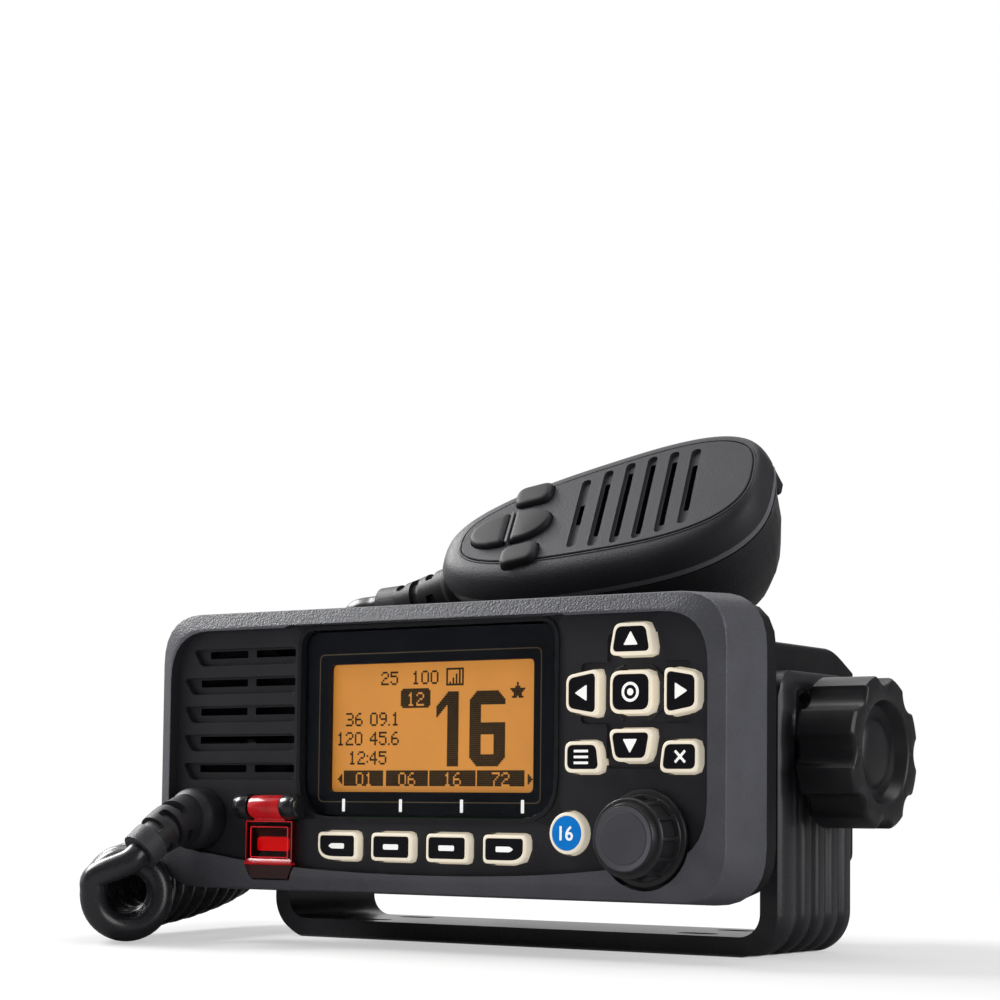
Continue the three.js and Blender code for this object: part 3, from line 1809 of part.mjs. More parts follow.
const stripTop = mic.seam - clearance;
const stripBottom = stripTop - mic.stripHeight;
named(
  'mic_seal_strip',
  cut(
    stack([body(mic.stripInset, stripBottom), body(mic.stripInset, stripTop)]),
    stack([body(mic.wall, stripBottom - overrun), body(mic.wall, stripTop + overrun)]),
    bootHole(),
  ),
  plastic('black'),
  micGroup,
);

const rearTop = stripBottom - clearance;
const rearDrop = rearTop - mic.rear;

function rearForm(grow) {
  return micRearShares.map(([down, share]) => {
    const shrink = share * mic.headHalf;
    const at = rearTop - rearDrop * down;
    return egg(
      mic.tail + shrink * micRear.tailShare + grow,
      mic.head - shrink * micRear.headShare - grow,
      mic.tailHalf - shrink / 2 - grow,
      mic.headHalf - shrink - grow,
      grow > 0 ? Math.max(at, mic.rear + grow) : at,
    );
  });
}

function pttBox(extra, inner) {
  const { tail, head, top, depth } = ptt;
  return prism(
    roundedShape(span(tail - extra, head + extra, inner, mic.headHalf * 2), overrun),
    top - depth - extra,
    top + extra,
    2,
  );
}

const bootSolid = strainRelief(inRadio(cordRoute.boot), boot.rootRadius).applyMatrix4(micInverse);

function micBackShell() {
  const outer = stack(rearForm(0));
  const innerRings = rearForm(mic.wall).filter((ring, i, all) => i === 0 || ring.at < all[i - 1].at);
  const mouth = { points: innerRings[0].points, at: rearTop + overrun };
  const spigotHole = new THREE.CylinderGeometry(
    hanger.spigotRadius + clearance,
    hanger.spigotRadius + clearance,
    mic.wall * 3,
    24,
  );
  spigotHole.rotateX(Math.PI / 2).translate(hanger.x, 0, mic.rear);
  const keyRoom = pttBox(ptt.gap, ptt.inner - ptt.travel - clearance);
  return cut(outer, stack([mouth, ...innerRings]), keyRoom, bootHole(), spigotHole);
}
named('mic_back_shell', micBackShell(), plastic('mic'), micGroup);
named('mic_boot', bootSolid, plastic('rubber'), micGroup);

function pttSolid() {
  const grownForm = stack([
    body(-ptt.out, ptt.top - ptt.depth * 2),
    body(-ptt.out, ptt.top + ptt.depth),
  ]);
  const paddle = common(grownForm, pttBox(0, ptt.inner));
  const flange = prism(
    roundedShape(
      span(ptt.tail - ptt.flange, ptt.head - ptt.flangeShort, ptt.inner, ptt.inner + ptt.flange),
      clearance,
    ),
    ptt.top - ptt.depth - ptt.flange,
    ptt.top - clearance,
    1,
  );
  return join(paddle, flange);
}
named('mic_ptt', pttSolid(), plastic('black'), micGroup);

const micBoardFront = micFlangeFront - keyCap.flangeThickness - keyTravel - clearance;
named(
  'mic_board',
  prism(
    roundedShape(
      span(micBoard.tail, micBoard.head, -micBoard.width / 2, micBoard.width / 2),
      mat.margin,
    ),
    micBoardFront - micBoard.thickness,
    micBoardFront,
    2,
  ),
  plastic('green'),
  micGroup,
);
named(
  'mic_element',
  prism(circle(element.radius, element.x, 0), micFlangeFront - element.thickness, micFlangeFront, 20),
  metal(0x9da1a5, 0.4),
  micGroup,
);

function hangerSolid() {
  const face = mic.rear - clearance;
  return turned(
    [
      [0, face - hanger.neckLength - hanger.capLength],
      [hanger.capRadius - keyCap.round, face - hanger.neckLength - hanger.capLength],
      [hanger.capRadius, face - hanger.neckLength - hanger.capLength / 2],
      [hanger.capRadius, face - hanger.neckLength],
      [hanger.neckRadius, face - hanger.neckLength],
      [hanger.neckRadius, face],
      [hanger.spigotRadius, face],
      [hanger.spigotRadius, mic.rear + mic.wall],
      [0, mic.rear + mic.wall],
    ],
    24,
  )
    .rotateX(Math.PI / 2)
    .translate(hanger.x, 0, 0);
}
named('mic_hanger_stud', hangerSolid(), metal(0xb8bcc0, 0.35), micGroup);

export default root;
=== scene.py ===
"""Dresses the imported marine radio: its pieces, finishes, camera and stage."""

import json
import math

import bmesh
import bpy
import numpy as np
from bpy.props import FloatProperty, FloatVectorProperty, IntProperty, PointerProperty
from mathutils import Matrix, Vector
from mathutils.geometry import delaunay_2d_cdt

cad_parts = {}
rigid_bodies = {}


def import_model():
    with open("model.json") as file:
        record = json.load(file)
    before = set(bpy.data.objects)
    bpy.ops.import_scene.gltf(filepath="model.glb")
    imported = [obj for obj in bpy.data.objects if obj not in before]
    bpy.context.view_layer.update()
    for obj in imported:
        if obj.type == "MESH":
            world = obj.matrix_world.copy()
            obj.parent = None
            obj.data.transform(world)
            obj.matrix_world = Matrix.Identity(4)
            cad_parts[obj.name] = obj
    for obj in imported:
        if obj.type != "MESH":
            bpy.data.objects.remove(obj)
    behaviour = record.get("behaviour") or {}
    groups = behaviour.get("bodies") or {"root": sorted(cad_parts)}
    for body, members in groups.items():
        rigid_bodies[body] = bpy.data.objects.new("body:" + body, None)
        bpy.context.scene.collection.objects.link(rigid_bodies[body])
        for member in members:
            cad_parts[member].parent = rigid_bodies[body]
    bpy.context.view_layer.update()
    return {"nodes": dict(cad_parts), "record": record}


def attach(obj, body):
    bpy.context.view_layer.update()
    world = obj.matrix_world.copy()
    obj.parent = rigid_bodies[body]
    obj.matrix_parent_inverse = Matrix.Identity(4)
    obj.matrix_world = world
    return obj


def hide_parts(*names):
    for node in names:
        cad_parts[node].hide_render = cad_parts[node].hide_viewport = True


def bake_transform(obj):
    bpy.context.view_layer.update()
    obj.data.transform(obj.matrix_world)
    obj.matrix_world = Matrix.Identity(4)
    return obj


bl_info = {
    "name": "Marine radio dressing",
    "version": (1, 0, 0),
    "blender": (4, 5, 0),
    "location": "View3D > Sidebar > Radio",
    "description": "Makes the visible pieces, finishes and stage of a fixed marine radio",
    "category": "Add Mesh",
}

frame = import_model()
NODES = frame["nodes"]
RECORD = frame["record"]
SLOTS = {part["node"]: part["material_slot"] for part in RECORD["subparts"]}
BODIES = {
    node: body
    for body, members in RECORD["behaviour"]["bodies"].items()
    for node in members
}

# Levels and places of the part, in millimetres
MM = 0.001
AXIS = 45.2
RIDGE = 54.4
FACE = 52.1
FACE_BACK = 49.9
KEY_FRONT = 54.0
LENS_FRONT = 51.0
LCD_FRONT = 48.5
CLEARANCE = 0.3
MARK_FOOT = KEY_FRONT + 0.02
WINDOW = (-35.1, 35.1, -15.4, 27.4)
WINDOW_RADII = (9.0, 9.0, 4.2, 4.2)
LCD = (-27.8, 27.8, -9.2, 19.0)
LCD_COLUMNS = 128
LCD_ROWS = 64
PAD = (54.9, 11.5)
ROW, COLUMN, LOW_ROW = 11.2, 12.1, -2.1
VOLUME = (58.5, -19.1)
ROUND_KEY = (39.3, -18.3)
DISTRESS = (-42.2, -13.3)
HINGE_OUT = 54.6
HINGE_BOSS = dict(near=4.7, far=9.2, half=3.3)
RECESS = dict(half_width=73.8, half_height=28.6, slot_half=72.0)
FLANGE_OUT = 38.6
MIC_PLACE = (3.6, 19.0, 107.5)
MIC_TURN = (49.7, -10.0, 6.4)

GLAND_ROUTE = [(-64.4, -58.2, 28.9), (-64.2, -64.5, 27), (-64.6, -69.3, 24.3), (-65.6, -72.6, 21.2)]
COIL_ROUTE = [
    (-68.7, -73.3, 11.2),
    (-77.5, -64.3, 11.4),
    (-86.6, -53, 12.2),
    (-92.5, -39, 12.8),
    (-97.5, -22, 14.2),
    (-106, 2, 17.5),
    (-113, 24, 24),
    (-110, 42, 37),
    (-100, 46, 53),
    (-92, 42, 66),
]
TAIL_APPROACH = (-76, 20, 83.6)
BOOT_ROUTE = [(-39.5, 19.5, 90), (-48, 19.5, 88), (-56.5, 19.5, 86.2), (-65.4, 19.5, 85.4)]


# Sizes and colours a user would change
def colour(label, description, value):
    """A colour a user can change."""
    return FloatVectorProperty(
        name=label, description=description, subtype="COLOR", size=3, min=0, max=1, default=value
    )


def length(label, description, millimetres):
    """A length a user can change."""
    return FloatProperty(
        name=label, description=description, unit="LENGTH", min=0, default=millimetres * MM
    )


def power(label, description, watts):
    """A lamp's power, which a user can change."""
    return FloatProperty(name=label, description=description, unit="POWER", min=0, default=watts)


class RadioColours(bpy.types.PropertyGroup):
    """Colours of the radio's finishes."""

    bezel: colour("Bezel", "Grained moulding round the panel", (0.07, 0.071, 0.083))
    face: colour("Face", "Smooth recessed face of the panel", (0.02, 0.02, 0.025))
    black: colour("Black plastic", "Knobs and bracket", (0.012, 0.012, 0.014))
    chassis: colour("Chassis", "Cast case behind the panel", (0.006, 0.006, 0.008))
    cream: colour("Key rim", "Ivory rims of the keys", (0.8, 0.72, 0.58))
    inset: colour("Key top", "Dark tops of the keys", (0.005, 0.005, 0.008))
    mark: colour("Marks", "Symbols on the keys", (0.85, 0.85, 0.83))
    blue: colour("Round key", "Blue top of the round key", (0.002, 0.2, 0.66))
    amber: colour("Display", "Lit face of the display", (0.56, 0.225, 0.036))
    pixel: colour("Display marks", "Dark dots of the display", (0.028, 0.017, 0.007))
    red: colour("Cover", "See-through red cover", (0.6, 0.012, 0.016))
    mic: colour("Microphone", "Grained shell of the microphone", (0.024, 0.024, 0.029))
    seal: colour("Microphone band", "Smooth band round the microphone", (0.11, 0.11, 0.12))
    rubber: colour("Rubber", "Cord, boots and gasket", (0.012, 0.012, 0.015))


class RadioSizes(bpy.types.PropertyGroup):
    """Sizes that belong to the dressing alone."""

    cord_diameter: length("Cord", "Thickness of the cord", 6)
    coil_radius: length("Curl radius", "Radius of the curls at the cord's middle", 7.8)
    curl_pitch: length("Curl pitch", "Distance from one curl to the next", 6.9)
    edge_round: length("Edge", "Rounding of the moulded edges", 0.22)
    key_rim: length("Key rim", "Width of the ivory rim round a key's top", 0.75)
    mark_rise: length("Marks", "How far the symbols stand up", 0.06)
    grain: length("Grain", "Size of the bezel's leather grain", 0.5)
    volume_flats: IntProperty(name="Grip flats", description="Flats round the knob", default=12)
    clamp_lobes: IntProperty(name="Lobes", description="Lobes round a clamp knob", default=8)


class RadioStage(bpy.types.PropertyGroup):
    """Camera and light."""

    lens: FloatProperty(name="Lens", description="Focal length in millimetres", default=85.26)
    key_light: power("Key light", "Power from the upper left", 22)
    top_light: power("Top light", "Power from above", 5)
    side_light: power("Side light", "Power from the right", 6.5)
    ambient: FloatProperty(name="Ambient", description="Even light from all round", default=0.3)
    floor: colour("Floor", "Pale floor", (0.86, 0.86, 0.86))


# Lines and outlines
def even_line(points, count):
    """Evenly spaced points on the centripetal curve through the given ones."""
    given = np.asarray(points, float)
    given = np.vstack([2 * given[0] - given[1], given, 2 * given[-1] - given[-2]])
    share = np.linspace(0, 1, 200, endpoint=False)[:, None]
    rows = []
    for i in range(1, len(given) - 2):
        a, b, c, d = given[i - 1 : i + 3]
        before, here, after = (np.linalg.norm(step) ** 0.5 for step in (b - a, c - b, d - c))
        leave = ((b - a) / before - (c - a) / (before + here) + (c - b) / here) * here
        reach = ((c - b) / here - (d - b) / (here + after) + (d - c) / after) * here
        square = -3 * b + 3 * c - 2 * leave - reach
        rows.append(b + share * leave + share**2 * square + share**3 * (2 * b - 2 * c + leave + reach))
    return spaced(np.vstack([*rows, given[-2][None]]), count)


def run_length(line):
    """Length of a line of points."""
    return float(np.linalg.norm(np.diff(line, axis=0), axis=1).sum())


def spaced(line, count):
    """The same line with its points at equal distances."""
    far = np.r_[0, np.cumsum(np.linalg.norm(np.diff(line, axis=0), axis=1))]
    wanted = np.linspace(0, far[-1], count)
    return np.column_stack([np.interp(wanted, far, line[:, k]) for k in range(3)])


def frames_along(line):
    """Direction, side and up at each point, carried along without twist."""
    along = np.gradient(line, axis=0)
    along /= np.linalg.norm(along, axis=1)[:, None]
    side = np.cross((0, 0, 1), along[0])
    sides = []
    for direction in along:
        side = side - direction * (side @ direction)
        side /= np.linalg.norm(side)
        sides.append(side)
    sides = np.array(sides)
    return along, sides, np.cross(along, sides)


def rounded(corners, radii, steps=6):
    """Outline of a polygon with rounded corners, as rows of two numbers."""
    corners = np.asarray(corners, float)
    radii = radii if hasattr(radii, "__len__") else [radii] * len(corners)
    share = np.linspace(0, 1, steps + 1)[:, None]
    rows = []
    for i, here in enumerate(corners):
        ends = []
        for other in (corners[i - 1], corners[(i + 1) % len(corners)]):
            reach = min(radii[i] / np.linalg.norm(other - here), 0.499)
            ends.append(here + (other - here) * reach)
        rows.append((1 - share) ** 2 * ends[0] + 2 * share * (1 - share) * here + share**2 * ends[1])
    return np.vstack(rows)


def inset(corners, distance):
    """The polygon with every side moved inwards by that distance."""
    corners = np.asarray(corners, float)
    step = np.roll(corners, -1, axis=0) - corners
    step /= np.linalg.norm(step, axis=1)[:, None]
    normal = np.column_stack([-step[:, 1], step[:, 0]])
    offset = (normal * corners).sum(axis=1) + distance
    rows = []
    for i in range(len(corners)):
        pair = np.array([normal[i - 1], normal[i]])
        rows.append(np.linalg.solve(pair, [offset[i - 1], offset[i]]))
    return np.array(rows)


def rectangle(left, right, low, high):
    """Corners of an upright rectangle, anticlockwise from the lower left."""
    return [(left, low), (right, low), (right, high), (left, high)]


def around(x, z, width, height):
    """Corners of an upright rectangle round its middle."""
    return rectangle(x - width / 2, x + width / 2, z - height / 2, z + height / 2)


def ring_of(radius, steps=64, x=0.0, z=0.0):
    """A circle as rows of two numbers."""
    turn = np.linspace(0, 2 * math.pi, steps, endpoint=False)
    return np.column_stack([x + radius * np.cos(turn), z + radius * np.sin(turn)])


def turned(corners, x, z, degrees):
    """Corners turned about their origin and moved to a place."""
    c, s = math.cos(math.radians(degrees)), math.sin(math.radians(degrees))
    return [(x + px * c - pz * s, z + px * s + pz * c) for px, pz in corners]


def across_x(outline, x):
    """An outline of Y and Z, placed at that X."""
    return np.column_stack([np.full(len(outline), x), outline])


def on_panel(outline, out):
    """An outline in the panel's X and Z, placed at that distance out of the panel."""
    outline = np.asarray(outline, float)
    return np.column_stack([outline[:, 0], np.full(len(outline), -out), AXIS + outline[:, 1]])


def mic_matrix():
    """The microphone's turn as it lies on the set."""
    roll, pitch, yaw = (math.radians(angle) for angle in MIC_TURN)
    turn = Matrix.Rotation(yaw, 3, "Z") @ Matrix.Rotation(pitch, 3, "Y") @ Matrix.Rotation(roll, 3, "X")
    return np.array(turn)


def on_mic(outline, at):
    """An outline in the microphone's own plane, at that height over its face."""
    outline = np.asarray(outline, float)
    flat = np.column_stack([outline, np.full(len(outline), at)])
    return flat @ mic_matrix().T + MIC_PLACE


# Skins
def loft(rings):
    """Vertices and faces of the closed skin over rings of equal length."""
    count = len(rings[0])
    faces = []
    for r in range(len(rings) - 1):
        low = r * count
        for i in range(count):
            j = (i + 1) % count
            faces.append((low + i, low + j, low + count + j, low + count + i))
    last = (len(rings) - 1) * count
    faces.append(tuple(range(count - 1, -1, -1)))
    faces.append(tuple(range(last, last + count)))
    return np.vstack(rings), faces


def plate(outline, back, front, edge=0.0):
    """A flat piece on the panel with a small chamfer round its front."""
    outline = np.asarray(outline, float)
    rings = [on_panel(outline, back), on_panel(outline, front - edge)]
    if edge:
        middle = outline.mean(axis=0)
        size = np.ptp(outline, axis=0).min() / 2
        rings.append(on_panel(middle + (outline - middle) * (1 - edge / size), front))
    return loft(rings)


def closed_band(levels):
    """A ring-shaped skin on the panel, from rows of outline and level round its section."""
    points, faces = loft([on_panel(outline, out) for outline, out in (*levels, levels[0])])
    return points, faces[:-2]


def tube(line, radii, sides=20, shape=None):
    """A closed sweep along a line with a radius at each point."""
    along, side, up = frames_along(line)
    turn = np.linspace(0, 2 * math.pi, sides, endpoint=False)
    radii = np.broadcast_to(radii, (len(line),))
    rings = []
    for i, point in enumerate(line):
        reach = radii[i] if shape is None else shape(i, turn)
        reach = np.broadcast_to(reach, (sides,))[:, None]
        rings.append(point + reach * (np.cos(turn)[:, None] * side[i] + np.sin(turn)[:, None] * up[i]))
    return loft(rings)


def turned_out(profile, x, z, steps=64):
    """A turned form whose axis points out of the panel, from rows of radius and level."""
    return loft([on_panel(ring_of(max(radius, 0.01), steps, x, z), out) for radius, out in profile])


def mesh_of(name, parts, sharp=35.0):
    """A mesh from skins in millimetres, each with its finish; edges over that angle stay sharp."""
    points, faces, looks, marks = [], [], [], []
    for vertices, polygons, material in parts:
        start = len(points)
        points.extend((np.asarray(vertices, float) * MM).tolist())
        faces.extend([tuple(start + i for i in polygon) for polygon in polygons])
        if material not in looks:
            looks.append(material)
        marks.extend([looks.index(material)] * len(polygons))
    mesh = bpy.data.meshes.new(name)
    mesh.from_pydata(points, [], faces)
    for material in looks:
        mesh.materials.append(material)
    mesh.polygons.foreach_set("material_index", marks)
    shell = bmesh.new()
    shell.from_mesh(mesh)
    bmesh.ops.recalc_face_normals(shell, faces=shell.faces)
    shell.to_mesh(mesh)
    shell.free()
    shade(mesh, sharp)
    return mesh


def place_piece(name, mesh, body, stands_for=()):
    """Links a visible piece, hides the nodes it stands for and puts it on its body."""
    piece = bpy.data.objects.new(name, mesh)
    bpy.context.scene.collection.objects.link(piece)
    if stands_for:
        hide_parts(*stands_for)
    if body:
        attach(piece, body)
    return piece


def form(name, parts, body, stands_for=(), sharp=35.0):
    """One visible piece made of skins, each given with its finish."""
    return place_piece(name, mesh_of(name, parts, sharp), body, stands_for)


def shade(mesh, sharp):
    """Shades smoothly, apart from edges over that angle."""
    mesh.shade_smooth()
    mesh.set_sharp_from_angle(angle=math.radians(sharp))


def soften(piece, width=None, angle=30.0):
    """Rounds the piece's sharp edges; the width is in millimetres."""
    edge = piece.modifiers.new("edge_round", "BEVEL")
    edge.width = bpy.context.scene.radio_sizes.edge_round if width is None else width * MM
    edge.segments = 2
    edge.limit_method = "ANGLE"
    edge.angle_limit = math.radians(angle)
    edge.use_clamp_overlap = True
    edge.miter_outer = "MITER_ARC"
    even = piece.modifiers.new("even_shade", "WEIGHTED_NORMAL")
    even.mode = "FACE_AREA"
    even.weight = 100
    even.keep_sharp = True


def encloses(outline, x, y):
    """Whether a point lies inside a closed outline, which may touch itself."""
    a, b = outline, np.roll(outline, -1, axis=0)
    spans = (a[:, 1] > y) != (b[:, 1] > y)
    a, b = a[spans], b[spans]
    crossings = a[:, 0] + (y - a[:, 1]) / (b[:, 1] - a[:, 1]) * (b[:, 0] - a[:, 0])
    return np.count_nonzero(crossings > x) % 2 == 1


def split_large(shell, corners=24):
    """Cuts faces with many corners into triangles that follow their outline."""
    for face in [face for face in shell.faces if len(face.verts) > corners]:
        around_face = list(face.verts)
        across = face.normal.orthogonal().normalized()
        up = face.normal.cross(across)
        flat = [Vector((vertex.co.dot(across), vertex.co.dot(up))) / MM for vertex in around_face]
        found = delaunay_2d_cdt(flat, [], [list(range(len(flat)))], 1, 1e-4, True)
        triangles, sources = found[2], found[3]
        outline = np.array(flat)
        shell.faces.remove(face)
        for triangle in triangles:
            middle = sum((found[0][i] for i in triangle), Vector((0, 0))) / 3
            if not encloses(outline, *middle):
                continue
            here = [around_face[sources[i][0]] for i in triangle if sources[i]]
            if len(set(here)) == 3 and shell.faces.get(here) is None:
                shell.faces.new(here)
    shell.faces.index_update()
    shell.normal_update()


def skin(node, name, material, pick=None, sharp=30.0):
    """A welded, smooth-shaded stand-in for a node, with its flat faces made whole."""
    flat = math.radians(0.6)
    shell = bmesh.new()
    shell.from_mesh(NODES[node].data)
    bmesh.ops.remove_doubles(shell, verts=shell.verts, dist=2e-6)
    bmesh.ops.dissolve_limit(
        shell,
        angle_limit=flat,
        use_dissolve_boundaries=False,
        verts=shell.verts,
        edges=shell.edges,
        delimit=set(),
    )
    split_large(shell)
    points = np.array([vertex.co[:] for vertex in shell.verts]) / MM
    groups = {}
    for face in shell.faces:
        surface = material if pick is None else pick(face.calc_center_median() / MM)
        groups.setdefault(surface.name, (surface, []))[1].append([vertex.index for vertex in face.verts])
    shell.free()
    faces, marks, looks = [], [], []
    for surface, polygons in groups.values():
        looks.append(surface)
        faces.extend(polygons)
        marks.extend([len(looks) - 1] * len(polygons))
    mesh = bpy.data.meshes.new(name)
    mesh.from_pydata((points * MM).tolist(), [], faces)
    for surface in looks:
        mesh.materials.append(surface)
    mesh.polygons.foreach_set("material_index", marks)
    shade(mesh, sharp)
    return place_piece(name, mesh, BODIES[node], (node,))


def carved(vertices, polygons, material, cutters):
    """The mesh of a skin after the cutters are taken out of it."""
    scene = bpy.context.scene.collection.objects
    body = bpy.data.objects.new("blank", mesh_of("blank", [(vertices, polygons, material)]))
    scene.link(body)
    tools = []
    for cutter in cutters:
        tool = bpy.data.objects.new("tool", mesh_of("tool", [cutter]))
        scene.link(tool)
        tools.append(tool)
        step = body.modifiers.new("cut", "BOOLEAN")
        step.operation = "DIFFERENCE"
        step.solver = "EXACT"
        step.material_mode = "TRANSFER"
        step.object = tool
    view = bpy.context.evaluated_depsgraph_get()
    mesh = bpy.data.meshes.new_from_object(body.evaluated_get(view))
    for extra in [body, *tools]:
        bpy.data.objects.remove(extra)
    return mesh


def carved_form(name, blank, cutters, body, stands_for, sharp=30.0):
    """One visible piece cut out of a blank skin."""
    mesh = carved(*blank, cutters)
    mesh.name = name
    shade(mesh, sharp)
    return place_piece(name, mesh, body, stands_for)


# Finishes
def node_of(tree, kind, **values):
    """A shader node with its settings or its inputs' values by name."""
    made = tree.nodes.new(kind)
    for key, value in values.items():
        if hasattr(made, key):
            setattr(made, key, value)
        else:
            made.inputs[key.replace("_", " ")].default_value = value
    return made


def finish(
    name,
    colour,
    roughness=0.5,
    grain=0.25,
    depth=0.012,
    leather=False,
    mottle=0.14,
    wear=0.25,
    metallic=0.0,
    specular=0.5,
    emission=0.0,
    brushed=False,
):
    """A moulded, cast or metal surface: tone varies, edges wear lighter, grain breaks the gloss."""
    material = bpy.data.materials.get(name)
    if material:
        return material
    material = bpy.data.materials.new(name)
    material.use_nodes = True
    tree = material.node_tree
    link = tree.links.new
    shader = tree.nodes["Principled BSDF"]
    place = node_of(tree, "ShaderNodeTexCoord")
    where = place.outputs["Object"]
    if brushed:
        stretch = node_of(tree, "ShaderNodeMapping", Scale=(1.0, 1.0, 12.0))
        link(where, stretch.inputs["Vector"])
        where = stretch.outputs["Vector"]
    fine = node_of(tree, "ShaderNodeTexNoise", Scale=1 / (grain * MM), Detail=4.0, Roughness=0.6)
    broad = node_of(tree, "ShaderNodeTexNoise", Scale=70.0, Detail=5.0, Roughness=0.55)
    link(where, fine.inputs["Vector"])
    link(place.outputs["Object"], broad.inputs["Vector"])
    height = fine.outputs["Fac"]
    if leather:
        cells = node_of(tree, "ShaderNodeTexVoronoi", Scale=1 / (grain * MM), Randomness=1.0)
        cells.feature = "SMOOTH_F1"
        pebbles = node_of(tree, "ShaderNodeMath", operation="MULTIPLY_ADD")
        pebbles.inputs[1].default_value = -1.4
        link(where, cells.inputs["Vector"])
        link(cells.outputs["Distance"], pebbles.inputs[0])
        link(fine.outputs["Fac"], pebbles.inputs[2])
        height = pebbles.outputs[0]
    base = Vector(colour)
    tone = node_of(tree, "ShaderNodeValToRGB")
    tone.color_ramp.elements[0].position = 0.3
    tone.color_ramp.elements[1].position = 0.7
    tone.color_ramp.elements[0].color = (*(base * (1 - mottle)), 1)
    tone.color_ramp.elements[1].color = (*(base * (1 + mottle)), 1)
    link(broad.outputs["Fac"], tone.inputs["Fac"])
    shape = node_of(tree, "ShaderNodeNewGeometry")
    worn = node_of(tree, "ShaderNodeMapRange", From_Min=0.53, From_Max=0.68, To_Min=0.0, To_Max=wear)
    link(shape.outputs["Pointiness"], worn.inputs["Value"])
    patchy = node_of(tree, "ShaderNodeMath", operation="MULTIPLY")
    link(worn.outputs["Result"], patchy.inputs[0])
    link(fine.outputs["Fac"], patchy.inputs[1])
    mixed = node_of(tree, "ShaderNodeMix", data_type="RGBA")
    lighter = base * 1.8 + Vector((0.03, 0.03, 0.03))
    mixed.inputs[7].default_value = (*(min(c, 1.0) for c in lighter), 1)
    link(patchy.outputs[0], mixed.inputs[0])
    link(tone.outputs["Color"], mixed.inputs[6])
    link(mixed.outputs[2], shader.inputs["Base Color"])
    gloss = node_of(
        tree,
        "ShaderNodeMapRange",
        From_Min=0.25,
        From_Max=0.75,
        To_Min=max(roughness - 0.07, 0.02),
        To_Max=min(roughness + 0.09, 1.0),
    )
    link(fine.outputs["Fac"], gloss.inputs["Value"])
    link(gloss.outputs["Result"], shader.inputs["Roughness"])
    bump = node_of(tree, "ShaderNodeBump", Strength=0.85, Distance=depth * MM)
    link(height, bump.inputs["Height"])
    link(bump.outputs["Normal"], shader.inputs["Normal"])
    shader.inputs["Metallic"].default_value = metallic
    shader.inputs["Specular IOR Level"].default_value = specular
    # An emission makes the surface glow: painted light on the ivory rims, marks, round key and red cover, and
    # the display's own backlight on its face and dots.
    if emission:
        link(mixed.outputs[2], shader.inputs["Emission Color"])
        shader.inputs["Emission Strength"].default_value = emission
    return material


def clear_pane(name, tint=(1.0, 1.0, 1.0)):
    """Clear plastic that keeps its gloss and lets the light through."""
    material = bpy.data.materials.get(name)
    if material:
        return material
    material = bpy.data.materials.new(name)
    material.use_nodes = True
    tree = material.node_tree
    tree.nodes.remove(tree.nodes["Principled BSDF"])
    link = tree.links.new
    out = tree.nodes["Material Output"]
    clear = node_of(tree, "ShaderNodeBsdfTransparent")
    gloss = node_of(tree, "ShaderNodeBsdfGlossy")
    fresnel = node_of(tree, "ShaderNodeFresnel", IOR=1.42)
    place = node_of(tree, "ShaderNodeTexCoord")
    smear = node_of(tree, "ShaderNodeTexNoise", Scale=120.0, Detail=3.0)
    rough = node_of(tree, "ShaderNodeMapRange", To_Min=0.03, To_Max=0.1)
    shape = node_of(tree, "ShaderNodeNewGeometry")
    front = node_of(tree, "ShaderNodeMath", operation="SUBTRACT")
    front.inputs[0].default_value = 1.0
    shine = node_of(tree, "ShaderNodeMath", operation="MULTIPLY")
    mix = node_of(tree, "ShaderNodeMixShader")
    clear.inputs["Color"].default_value = (*tint, 1)
    link(shape.outputs["Backfacing"], front.inputs[1])
    link(front.outputs[0], shine.inputs[0])
    link(fresnel.outputs["Fac"], shine.inputs[1])
    link(place.outputs["Object"], smear.inputs["Vector"])
    link(smear.outputs["Fac"], rough.inputs["Value"])
    link(rough.outputs["Result"], gloss.inputs["Roughness"])
    link(shine.outputs[0], mix.inputs["Fac"])
    link(clear.outputs["BSDF"], mix.inputs[1])
    link(gloss.outputs["BSDF"], mix.inputs[2])
    link(mix.outputs["Shader"], out.inputs["Surface"])
    return material


